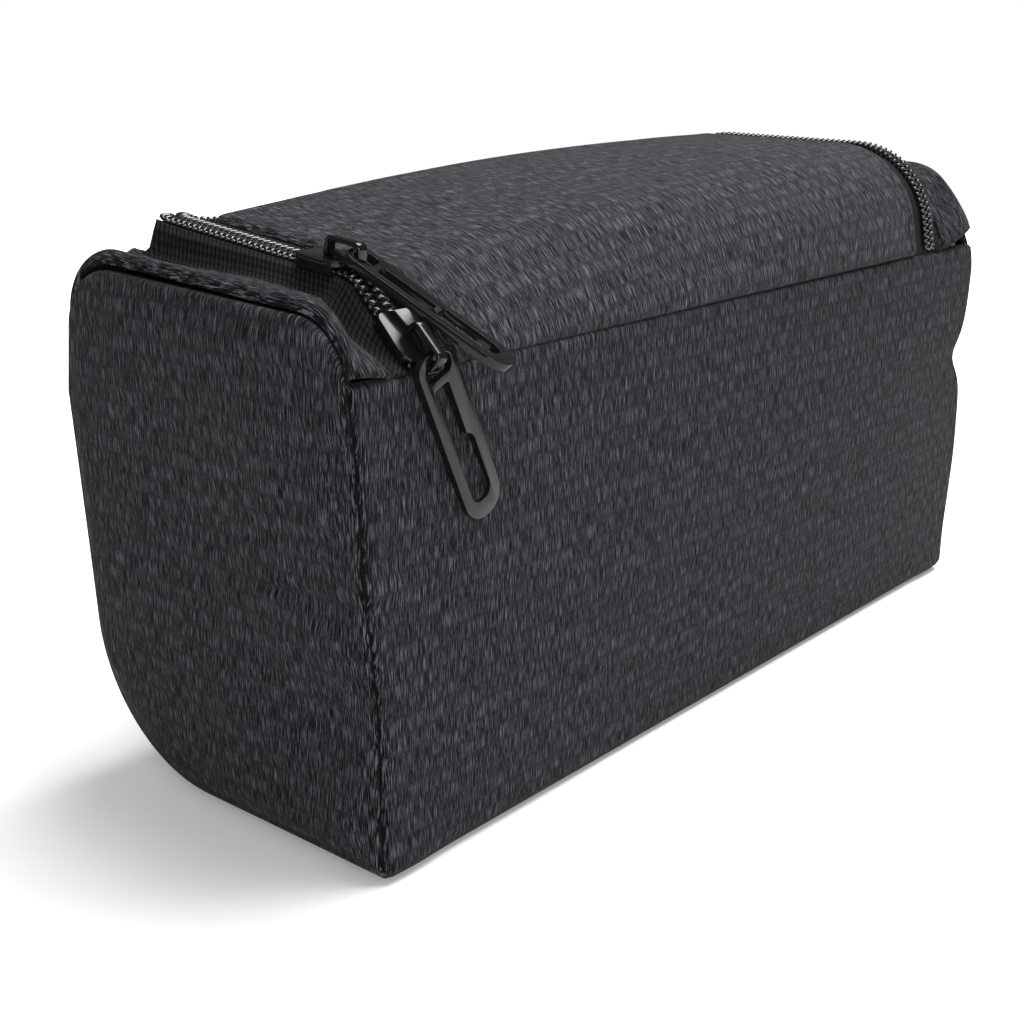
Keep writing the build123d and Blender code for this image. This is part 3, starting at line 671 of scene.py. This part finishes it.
# ends: one panel each, bulging, with its edge turned into the seam; middle is its middle in the YZ plane, and
# middleAway that point's distance from the edge
endShape = {
    "around": 260, "rings": 46, "wallShare": 0.66, "middle": (-1.0, 62.0), "middleAway": 60.0,
    "pressure": 3.0, "swell": 2.4, "held": 2.0, "wave": 0.35, "waveLengths": (21, 13), "softEdge": 20,
}
endInset = {"foam": 5.3, "lining": 6.0}
# the left end's crease and the fold over it: how far each goes in or out, its height and half width, and
# where they start towards the front, over which run
endCrease = {
    "in": 0.9, "low": 57, "lowWide": 2.4, "out": 0.5, "high": 63, "highWide": 4, "start": 5, "run": 30}


def endOutline(inset, outer):
    # closed outline of an end in the YZ plane: the wall's outline, then over the top from back to front
    n = endShape["around"]
    v = np.linspace(0, 1, int(n * endShape["wallShare"]), endpoint=False)
    y, z = wallPoint(v, inset, not outer)[:2]
    r = np.linspace(0, 1, n - len(v), endpoint=False) * topLength(endX)
    top = topPoint(np.full(r.shape, endX), r, inset)
    return np.concatenate([np.stack([y, z], -1), top[:, 1:]])


def endPoints(side, depth, inset, outer=False):
    # the middle, then rings from it out to the outline, on the seam's leaning face; x goes in by the layer's
    # depth and, for the outer cloth, by its turned edge, and out by a soft wave
    a = endShape
    loop = endOutline(inset, outer)
    middle = np.array(a["middle"])
    share = np.sin(pi / 2 * np.linspace(0, 1, a["rings"]))[1:, None]
    ring = middle + (loop - middle)[None] * share[..., None]
    y = np.concatenate([[middle[0]], ring[..., 0].ravel()])
    z = np.concatenate([[middle[1]], ring[..., 1].ravel()])
    away = np.concatenate([[a["middleAway"]], (span(middle, loop)[None] * (1 - share)).ravel()])
    roll = turned(away, seam["round"]) if outer else 0.0
    alongZ, alongY = a["waveLengths"]
    out = a["wave"] * np.sin(z / alongZ + y / alongY) * smooth(away / a["softEdge"])
    if side < 0:
        c = endCrease
        forward = smooth((-y - c["start"]) / c["run"])
        out = out - c["in"] * bump(z, c["low"], c["lowWide"]) * forward * smooth((away + 2) / 8)
        out = out + c["out"] * bump(z, c["high"], c["highWide"]) * forward
    x = seamX(side, y, z) - side * (depth + roll - out)
    return np.stack([x, y, z], -1), np.stack([y, z], -1), away


def endFaces(flip):
    # quads between the rings and a fan of triangles round the middle
    n, rings = endShape["around"], endShape["rings"] - 1
    quads = gridFaces(rings, n, wrap=True) + 1
    j = np.arange(n)
    fan = np.stack([0 * j, 1 + (j + 1) % n, 1 + j], -1)
    if flip:
        quads, fan = quads[:, ::-1], fan[:, ::-1]
    return [*quads.tolist(), *fan.tolist()]


def endPanel(side, word):
    a = endShape
    faces = endFaces(side > 0)
    points, uv, away = endPoints(side, 0.0, seam["gap"], outer=True)
    points = puff(points, faces, away < a["held"], a["pressure"], a["swell"], word + "EndSwell")
    sheets = [(points, uv)] + [endPoints(side, layerDepth[k], endInset[k])[:2] for k in ("foam", "lining")]
    names = [word + "End" + layer for layer in ("Cloth", "Padding", "Lining")]
    nodes = [(word + "_end_" + layer,) for layer in ("panel", "foam", "lining")]
    for piece in threeLayers(names, nodes, sheets, faces, wallClothPaintedShade):
        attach(piece, "bag_body")


def seamFoldPaintedShade(side, word):
    # turned-in cloth at the bottom of the groove round an end, dark with the tape's colour as painted shade: a
    # thin closed tube along the outline
    sides, inset = seam["foldSides"], seam["gap"] + seam["fold"]
    y, z = endOutline(inset, outer=True).T
    line = np.stack([seamX(side, y, z) - side * inset, y, z], -1)
    way = unitRows(np.roll(line, -1, axis=0) - np.roll(line, 1, axis=0))
    tube = tubePoints(line, way, [1.0, 0, 0], seam["fold"], sides)
    around = np.linspace(0, 2 * pi, sides, endpoint=False)
    uv = np.stack(np.meshgrid(around, np.arange(len(line)) * seam["foldStep"]), -1)
    faces = gridFaces(len(line), sides, wrap=True, closed=True)
    fold = makeMesh(word + "SeamFoldPaintedShade", tube, faces, uv, tapeCloth)
    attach(fold, "bag_body")


endPanel(-1, "left")
endPanel(1, "right")
seamFoldPaintedShade(-1, "left")
seamFoldPaintedShade(1, "right")
print("stage 5: ends made")


def zipParts():
    # lengths at the ends of the zip's five parts: left run, bend, back run, bend, right run
    bend = zipLine["bend"]
    start = zipLine["rise"] + bend
    left = float(topLength(zipLine["left"])) - start
    right = float(topLength(zipLine["right"])) - start
    back = zipLine["right"] - zipLine["left"] - 2 * bend
    return np.cumsum([left, bend * pi / 2, back, bend * pi / 2, right])


zipMarks = zipParts()


def zipChart(s, across):
    # where a point across the zip's centre line lies in the top's chart (x, r); across is + outside the zip
    s, across = np.broadcast_arrays(np.asarray(s, float), np.asarray(across, float))
    marks = zipMarks
    bend = zipLine["bend"]
    start = zipLine["rise"] + bend
    leftX, rightX = zipLine["left"] - across, zipLine["right"] + across
    turn1, turn2 = (s - marks[0]) / bend, (s - marks[2]) / bend
    radius = bend + across
    cases = [s <= mark for mark in marks[:4]]
    x = np.select(cases, [
        leftX, zipLine["left"] + bend - radius * np.cos(turn1), zipLine["left"] + bend + s - marks[1],
        zipLine["right"] - bend + radius * np.sin(turn2)], rightX)
    up1 = start + (topLength(leftX) - start) * (1 - s / marks[0])
    up2 = start + (topLength(rightX) - start) * ((s - marks[3]) / (marks[4] - marks[3]))
    r = np.select(cases, [
        up1, start - radius * np.sin(turn1), start - radius + 0 * s, start - radius * np.cos(turn2)], up2)
    return x, r


# how far the strips have sunk beside the zip, so that the tape stands as a low wall: at the front, at the
# left back corner and on the right; from which distance across, over which run; and where each change along
# the zip starts and how long it takes
sunk = {
    "front": 4.0, "left": 6.5, "right": 4.0, "start": 3.3, "run": 2.8,
    "endRun": 14, "leftStart": 35, "rightRun": 60,
}
# how far the back run hangs behind the lid, over its left two thirds
dip = {"deep": 2.2, "start": 5, "startRun": 14, "stop": 35, "stopRun": 50}


def sinkAt(s, across):
    # nothing at the front seam, the front's value over the first stretch, the left's at the back corner,
    # then falling to the right's value
    a = sunk
    marks = zipMarks
    depth = a["front"] * smooth(s / a["endRun"])
    depth = depth + (a["left"] - a["front"]) * smooth((s - a["leftStart"]) / (marks[0] - a["leftStart"]))
    depth = depth + (a["right"] - a["left"]) * smooth((s - marks[1]) / a["rightRun"])
    depth = depth * smooth((marks[4] - s) / a["endRun"])
    return depth * smooth((across - a["start"]) / a["run"])


def dipAt(s):
    a = dip
    begin = smooth((s - zipMarks[0] - a["start"]) / a["startRun"])
    return a["deep"] * begin * smooth((zipMarks[2] - a["stop"] - s) / a["stopRun"])


# top frame: the strips between the ends or the back seam and the zip's tape
frameShape = {
    "along": 330, "across": 26, "inBend": 70, "edgeRoll": 1.3, "edgeRun": 1.6, "edgeLift": 0.5, "liftRun": 5,
    "crest": 1.2, "backCrest": 0.4, "rightCrest": 2.0, "crestAt": 0.75, "crestWide": 0.22, "crestRun": 25,
    "sinkFrom": 0.15,
}


def framePoints(start, stop):
    # along follows the zip's outer tape edge, across goes from that edge to the end seam or the back seam
    a = frameShape
    marks = zipMarks
    bend, show = zipLine["bend"], zipLine["show"]
    even = np.linspace(start, stop, int(a["along"] * (stop - start) / marks[4]) + 2)
    bends = [np.linspace(marks[i], marks[i + 1], a["inBend"]) for i in (0, 2)]
    s = np.unique(np.clip(np.concatenate([even, *bends]), start, stop).round(4))
    across = 0.5 - 0.5 * np.cos(pi * np.linspace(0, 1, a["across"]))
    S, C = np.meshgrid(s, across, indexing="ij")
    cases = [S <= marks[0], (S > marks[0]) & (S <= marks[1]), (S > marks[1]) & (S <= marks[2]), S < marks[3]]
    leftSide, rightSide, backRun = cases[0], S >= marks[3], cases[2]
    # outer edge in the top's chart: along the end, round its back corner, along the back seam, and on
    innerX, innerR = zipChart(S, show)
    lowR = zipLine["rise"] + bend
    leftCorner, rightCorner = zipLine["left"] + bend, zipLine["right"] - bend
    share1 = np.clip((S - marks[0]) / bend, 0, pi / 2) / (pi / 4)
    share2 = np.clip((S - marks[2]) / bend, 0, pi / 2) / (pi / 4)
    outerX = np.select(cases, [
        -endX + 0 * S, np.where(share1 < 1, -endX, -endX + (leftCorner + endX) * (share1 - 1)),
        innerX, np.where(share2 < 1, rightCorner + (endX - rightCorner) * share2, endX)], endX)
    upShare = np.where(leftSide, (innerR - lowR) / (topLength(zipLine["left"] - show) - lowR), 0)
    upShare = np.where(rightSide, (innerR - lowR) / (topLength(zipLine["right"] + show) - lowR), upShare)
    onSide = lowR + (topLength(endX) - lowR) * upShare
    outerR = np.select(cases, [
        onSide, np.where(share1 < 1, lowR * (1 - share1), 0), 0 * S,
        np.where(share2 < 1, 0, lowR * (share2 - 1))], onSide)
    # the outer edge stops in the groove beside the end's seam
    rough = topPoint(np.clip(outerX, -endX, endX), outerR)
    leftSeam, rightSeam = (seamX(side, rough[..., 1], rough[..., 2]) for side in (-1, 1))
    seamAt = np.where(outerX < 0, leftSeam, rightSeam)
    outerX = np.where(np.abs(outerX) > endX - 0.01, seamAt, outerX)
    limit = np.abs(seamAt) - seam["gap"]
    outerX = np.clip(outerX, -limit, limit)
    x = innerX + (outerX - innerX) * C
    r = innerR + (outerR - innerR) * C
    width = np.hypot(outerX - innerX, outerR - innerR)
    # both edges turn under, the cloth swells between them, and it sinks beside the zip
    toTape, toSeam = width * C, width * (1 - C)
    roll = a["edgeRoll"] * np.clip(1 - toTape / a["edgeRun"], 0, 1) ** 2
    roll = roll - a["edgeLift"] * smooth(1 - toTape / a["liftRun"]) + turned(toSeam, seam["round"])
    crest = np.sin(pi * C) * np.where(backRun, a["crest"] * a["backCrest"], a["crest"])
    rightCrest = a["rightCrest"] * bump(C, a["crestAt"], a["crestWide"]) * smooth((1 - C) / 0.15)
    crest = crest + rightCrest * rightSide * smooth((marks[4] - S) / a["crestRun"])
    low = sinkAt(S, show + 0 * S) * (1 - smooth((C - a["sinkFrom"]) / (1 - a["sinkFrom"])))
    points = topPoint(np.clip(x, -endX - 3, endX + 3), r, roll - crest + low)
    points[..., 0] = x
    return points, np.stack([x, r], -1)


strips = (
    ("left", 0.0, zipMarks[1], "left_top_strip"), ("back", zipMarks[1], zipMarks[2], "back_top_strip"),
    ("right", zipMarks[2], zipMarks[4], "right_top_strip"))
for word, start, stop, node in strips:
    points, uv = framePoints(start, stop)
    strip = gridSheet(word + "TopCloth", points, uv, wallClothPaintedShade, flip=True)
    thicken(strip, layers["cloth"])
    declare(strip, node)
print("stage 6: top strips made")

# lid: one sheet over the top, held still at its edges and at its front seam while it swells; the inner layers
# stop before the front seam
lidShape = {
    "columns": 150, "rows": 110, "evenShare": 0.6, "pull": 0.04, "pressure": 2.0, "swell": 1.2,
    "heldEdge": 1.5, "heldFront": 2.0, "edgeRoll": 1.5, "edgeRun": 1.8, "lift": 0.6, "liftRun": 6,
    "wave": 0.35, "waveLengths": (19, 23), "softEdge": 30, "softFront": 16,
    "frontRoll": 1.7, "rollAt": 7, "rollWide": 5.5, "rollRun": 20, "innerGap": 0.4, "innerDrop": 20.0,
}


def lidLow(x, inset):
    # back edge of the lid in the top's chart, rounded at its two corners
    left, right = zipLine["left"] + inset, zipLine["right"] - inset
    radius = max(zipLine["bend"] - inset, 1.0)
    inX = np.minimum(x - left, right - x)
    return zipLine["rise"] + inset + turned(inX, radius), inX


def lidPoints(depth, inset, frontDrop=0.0, outer=False):
    # x across the lid, r from the rounded back edge over the top to the front seam; the outer cloth turns
    # under at its edges, and every layer has the same waves and the same roll over the front seam
    a = lidShape
    across, along = denseEnds(a["columns"], a["evenShare"]), denseMiddle(a["rows"], a["pull"])
    T, Q = np.meshgrid(across, along, indexing="xy")
    left, right = zipLine["left"] + inset, zipLine["right"] - inset
    x = left + (right - left) * T
    low = lidLow(x, inset)[0]
    length = topLength(x)
    r = low + (length - frontDrop - low) * Q
    clothLow, inX = lidLow(x, zipLine["show"])
    edge = np.minimum(inX, r - clothLow)
    toFront = length - r
    roll = 0.0
    if outer:
        roll = a["edgeRoll"] * np.clip(1 - edge / a["edgeRun"], 0, 1) ** 2
        roll = roll - a["lift"] * smooth(1 - edge / a["liftRun"]) + turned(toFront, seam["round"])
    soft = smooth(edge / a["softEdge"]) * smooth(toFront / a["softFront"])
    alongX, alongR = a["waveLengths"]
    wave = a["wave"] * np.sin(x / alongX + 0.5) * np.sin(r / alongR) * soft
    frontRoll = a["frontRoll"] * bump(toFront, a["rollAt"], a["rollWide"]) * smooth(inX / a["rollRun"])
    return topPoint(x, r, depth + roll - wave - frontRoll), np.stack([x, r], -1), edge, toFront


faces = gridFaces(lidShape["rows"], lidShape["columns"])
points, uv, edge, toFront = lidPoints(0.0, zipLine["show"], outer=True)
held = (edge < lidShape["heldEdge"]) | (toFront < lidShape["heldFront"])
points = puff(points, faces[:, ::-1], held, lidShape["pressure"], lidShape["swell"], "lidSwell")
inset = zipLine["half"] + lidShape["innerGap"]
sheets = [(points, uv)]
sheets += [lidPoints(layerDepth[k], inset, lidShape["innerDrop"])[:2] for k in ("foam", "lining")]
names = ("lidClothPaintedLight", "lidPadding", "lidLining")
nodes = (("lid_panel", "lid_front_band"), ("lid_foam",), ("lid_lining",))
for piece in threeLayers(names, nodes, sheets, faces, lidClothPaintedLight, flip=True):
    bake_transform(piece)
print("stage 7: lid made")

# zip tapes: woven bands on both sides of the coil, the outer one arched more than the lid's
tapeShape = {
    "along": 520, "across": 12, "thick": 0.6, "near": 0.4, "depth": 1.2, "bodyRise": 1.3, "lidRise": 0.3,
    "archFrom": 2.5, "archMargin": 2, "showMargin": 1,
}


def tapeBand(name, near, far, rise):
    # across runs from near to far beside the centre line; the band arches between the coil and where the
    # strip or the lid hides it, and the body's one goes down beside the coil as the strips have sunk
    a = tapeShape
    show = zipLine["show"]
    s = np.linspace(0, zipMarks[4], a["along"])
    S, C = np.meshgrid(s, np.linspace(0, 1, a["across"]), indexing="ij")
    offset = near + (far - near) * C
    x, r = zipChart(S, offset)
    share = np.clip((np.abs(offset) - a["archFrom"]) / (show - a["archMargin"]), 0, 1)
    arch = rise * np.where(np.abs(offset) < show + a["showMargin"], np.sin(pi * share), 0)
    outside = far > near
    low = sinkAt(S, offset) if outside else 0
    points = topPoint(x, r, a["depth"] - arch + low + dipAt(S))
    band = gridSheet(name, points, np.stack([offset, S], -1), tapeCloth, outside)
    thicken(band, a["thick"])
    return band


bodyTape = tapeBand("bodyTape", tapeShape["near"], zipLine["half"], tapeShape["bodyRise"])
lidTape = tapeBand("lidTape", -tapeShape["near"], -zipLine["half"], tapeShape["lidRise"])
declare(bodyTape, "zip_tape_body")
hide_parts("zip_tape_lid", "zip_tape_held")
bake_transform(lidTape)

# zip coils: each row is one nylon thread wound to and fro in flat turns; seat is its underside's depth
coilShape = {
    "pitch": 1.65, "perTurn": 12, "sides": 6, "thread": 0.42, "inner": 0.15, "outer": 3.0, "height": 1.5,
    "seat": 1.05,
}


def coilRow(name, side, phase):
    # a flat helix beside the centre line: across swings between its inner and outer edge, and height between
    # the tape and the top of the coil, once for each turn; its two ends are closed
    a = coilShape
    thread, sides = a["thread"], a["sides"]
    turns = int(zipMarks[4] / a["pitch"])
    t = np.arange(turns * a["perTurn"] + 1) / a["perTurn"]
    angle = 2 * pi * (t + phase)
    middle, swing = (a["inner"] + a["outer"]) / 2, (a["outer"] - a["inner"]) / 2 - thread
    across = side * (middle + swing * np.cos(angle))
    high = a["height"] / 2 + (a["height"] / 2 - thread) * np.sin(angle)
    s = np.clip(t * a["pitch"], 0, zipMarks[4])
    x, r = zipChart(s, across)
    line = topPoint(x, r, a["seat"] - high + dipAt(s))
    up = topPoint(x, r, -1.0) - topPoint(x, r)
    tube = tubePoints(line, unitRows(np.gradient(line, axis=0)), up, thread, sides)
    last = (len(line) - 1) * sides
    faces = gridFaces(len(line), sides, wrap=True).tolist()
    faces += [list(range(sides))[::-1], list(range(last, last + sides))]
    return makeMesh(name, tube, faces, material=coilNylon)


bodyCoil = coilRow("bodyCoil", 1, 0.0)
lidCoil = coilRow("lidCoil", -1, 0.5)
declare(bodyCoil, "zip_coil_body")
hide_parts("zip_coil_lid", "zip_coil_held")
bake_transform(lidCoil)
print("stage 8: zip made")

# inside: binding over the seams, net pocket and its elastic; net is the pocket's length, low and high edge,
# and gather the depth of its gathers and how close they lie
bindingShape = {"along": 160, "across": 6, "wide": 7.0, "thick": 0.6, "fromSeam": 4.2, "arch": 0.4}
pocketShape = {
    "net": (180.0, 42.0, 78.0), "columns": 120, "rows": 30, "slack": 5.0, "gather": (0.35, 0.8), "lean": 0.2,
    "spare": 1.04, "rimHigh": 6.0, "rimRows": 7, "rimLean": 0.3, "rimArch": 0.3, "rimThick": 1.0,
}


def bindingBand(side, word):
    # a narrow arched band along the wall's inner face, beside the end's lining
    a = bindingShape
    v, c = np.linspace(0.03, 0.97, a["along"]), np.linspace(0, 1, a["across"])
    V, C = np.meshgrid(v, c, indexing="ij")
    y, z, ny, nz, length = wallPoint(V, layerDepth["inner"], True)
    x = side * (np.abs(seamX(side, y, z)) - a["fromSeam"] - a["wide"] * C)
    arch = a["arch"] * np.sin(pi * C)
    points = np.stack([x, y - ny * arch, z - nz * arch], -1)
    band = gridSheet(word + "Binding", points, np.stack([a["wide"] * C, V * length], -1), tapeCloth, side < 0)
    thicken(band, a["thick"])
    declare(band, word + "_seam_binding")


bindingBand(-1, "left")
bindingBand(1, "right")


def pocketSlack(X, up):
    # how far the pocket stands off the back lining: nothing at its sides and foot, most above its middle
    length = pocketShape["net"][0]
    deep, close = pocketShape["gather"]
    off = np.sin(pi * (X / length + 0.5)) * np.sin(pi * (0.15 + 0.6 * up)) * up ** 0.5
    return pocketShape["slack"] * off + deep * np.sin(X * close) * up


def pocketSheet():
    # net sheet on the back lining, slack in the middle and gathered at its rim, with the elastic over it
    a = pocketShape
    length, low, high = a["net"]
    x = np.linspace(-length / 2, length / 2, a["columns"])
    X, Z = np.meshgrid(x, np.linspace(low, high, a["rows"]), indexing="xy")
    back = bag["backY"] - layerDepth["inner"]
    y = back - a["lean"] - pocketSlack(X, (Z - low) / (high - low))
    points = np.stack([X, y, Z], -1)
    net = gridSheet("netPocket", points, np.stack([X, Z], -1), pocketNet)
    declare(net, "mesh_pocket")
    X, C = np.meshgrid(x, np.linspace(0, 1, a["rimRows"]), indexing="xy")
    y = back - a["rimLean"] - pocketSlack(X, np.ones_like(X)) - a["rimArch"] * np.sin(pi * C)
    points = np.stack([X, y, high + a["rimHigh"] * C], -1)
    rim = gridSheet("pocketRim", points, np.stack([X, points[..., 2]], -1), tapeCloth)
    thicken(rim, a["rimThick"])
    declare(rim, "pocket_elastic")


pocketSheet()
print("stage 9: inside made")

# sliders and pulls: how wide the edges of each part are rounded
metal = {"body": 0.4, "crown": 0.4, "pawl": 0.12, "pull": 0.7}
# corners closer than join are one, faces that turn less than flat degrees are one, and edges over sharp
# degrees are rounded
rounding = {"join": 0.002, "flat": 1.5, "sharp": 32, "segments": 3}


def roundedMetal(name, body, width):
    # a copy of the node's faces, joined at their shared corners, with a bevel along every sharp edge
    a = rounding
    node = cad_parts[name]
    work = bmesh.new()
    work.from_mesh(node.data)
    work.transform(node.matrix_world)
    bmesh.ops.remove_doubles(work, verts=work.verts, dist=a["join"] * mm)
    bmesh.ops.dissolve_limit(work, angle_limit=radians(a["flat"]), verts=work.verts, edges=work.edges)
    mesh = bpy.data.meshes.new(name + "Rounded")
    work.to_mesh(mesh)
    work.free()
    mesh.materials.clear()
    mesh.materials.append(blackMetal)
    mesh.polygons.foreach_set("material_index", np.zeros(len(mesh.polygons), np.int32))
    mesh.polygons.foreach_set("use_smooth", np.ones(len(mesh.polygons), bool))
    obj = bpy.data.objects.new(name + "Rounded", mesh)
    scene.collection.objects.link(obj)
    bevel = obj.modifiers.new("edges", "BEVEL")
    bevel.width = width * mm
    bevel.use_clamp_overlap = True
    bevel.segments = a["segments"]
    bevel.limit_method = "ANGLE"
    bevel.angle_limit = radians(a["sharp"])
    bevel.harden_normals = True
    declare(obj, name, body)


for slider, body in (("slider_1", "slider_1"), ("slider_2", "bag_body")):
    for part in ("body", "crown", "pawl"):
        roundedMetal(slider + "_" + part, body, metal[part])
for pull in ("pull_1", "pull_2"):
    roundedMetal(pull, pull, metal["pull"])
print("stage 10: metal dressed")

# floor, light and camera: world seen by plain and glossy rays, power of the three lamps, and the floor's tone
# with its glow, which rises to 1 between two distances in metres
light = {
    "world": 0.42, "gloss": 0.1, "overhead": 21.0, "front": 5.6, "left": 0.3,
    "floor": 0.85, "floorRough": 0.9, "floorGlow": 0.1, "glowFrom": 0.26, "glowTo": 0.6,
}
floorShape = {"half": 1.0, "under": 0.0003}
# camera: place in metres, degrees that it looks down and turns, its lens and sensor in millimetres
view = {
    "place": (-0.296334, -0.223952, 0.153944), "down": 17.43, "turn": -49.701, "lens": 52.74, "sensor": 36,
    "near": 0.01,
}
white = (1, 1, 1, 1)


def cameraMask(tree):
    # 1 for rays that the camera or clear pieces send, else 0
    path = tree.nodes.new("ShaderNodeLightPath")
    return mathNode(tree, "MAXIMUM", path.outputs["Is Camera Ray"], path.outputs["Is Transmission Ray"])


def addFloor():
    # pale floor that glows towards its edges for the camera only, so that it fades into the background
    half = floorShape["half"]
    mesh = bpy.data.meshes.new("floor")
    corners = [(-half, -half, 0), (half, -half, 0), (half, half, 0), (-half, half, 0)]
    mesh.from_pydata(corners, [], [(0, 1, 2, 3)])
    floor = bpy.data.objects.new("floor", mesh)
    floor.location.z = -floorShape["under"]
    scene.collection.objects.link(floor)
    look = {
        "Base Color": (*(light["floor"],) * 3, 1), "Roughness": light["floorRough"],
        "Specular IOR Level": 0.0, "Emission Color": white}
    mat, tree, shader = newMaterial("paleFloor", look)
    coord = tree.nodes.new("ShaderNodeTexCoord")
    far = tree.nodes.new("ShaderNodeVectorMath")
    far.operation = "LENGTH"
    feed(tree, far.inputs[0], coord.outputs["Object"])
    glow = rangeNode(tree, far.outputs["Value"], light["glowFrom"], light["glowTo"], light["floorGlow"], 1.0)
    feed(tree, shader.inputs["Emission Strength"], times(tree, cameraMask(tree), glow))
    mesh.materials.append(mat)


def setWorld():
    # white for the camera, dimmer for the light that it gives, dimmest in reflections
    world = scene.world or bpy.data.worlds.new("studio")
    scene.world = world
    world.use_nodes = True
    tree = world.node_tree
    back = tree.nodes["Background"]
    back.inputs["Color"].default_value = white
    path = tree.nodes.new("ShaderNodeLightPath")
    plain = rangeNode(tree, path.outputs["Is Glossy Ray"], 0, 1, light["world"], light["gloss"])
    feed(tree, back.inputs["Strength"], rangeNode(tree, cameraMask(tree), 0, 1, plain, 1.0))


def areaLamp(name, place, target, size, power):
    lamp = bpy.data.lights.new(name, "AREA")
    lamp.shape = "RECTANGLE"
    lamp.size, lamp.size_y = size
    lamp.energy = power
    obj = bpy.data.objects.new(name, lamp)
    obj.location = place
    obj.rotation_euler = (Vector(target) - Vector(place)).to_track_quat("-Z", "Y").to_euler()
    scene.collection.objects.link(obj)


def addCamera():
    lens = bpy.data.cameras.new("camera")
    lens.sensor_width = view["sensor"]
    lens.lens = view["lens"]
    lens.clip_start = view["near"]
    camera = bpy.data.objects.new("camera", lens)
    camera.location = view["place"]
    camera.rotation_euler = (radians(90 - view["down"]), 0, radians(view["turn"]))
    scene.collection.objects.link(camera)
    scene.camera = camera


addFloor()
setWorld()
areaLamp("overhead", (0.3, -0.12, 1.05), (0, 0, 0.05), (0.8, 0.7), light["overhead"])
areaLamp("frontSoft", (-0.68, -0.82, 0.36), (0, 0, 0.06), (0.55, 0.45), light["front"])
areaLamp("leftSoft", (-1.2, 0.0, 0.6), (0, 0, 0.06), (0.7, 0.7), light["left"])
addCamera()
scene.view_settings.view_transform = "Standard"
print("stage 11: floor, light and camera set")
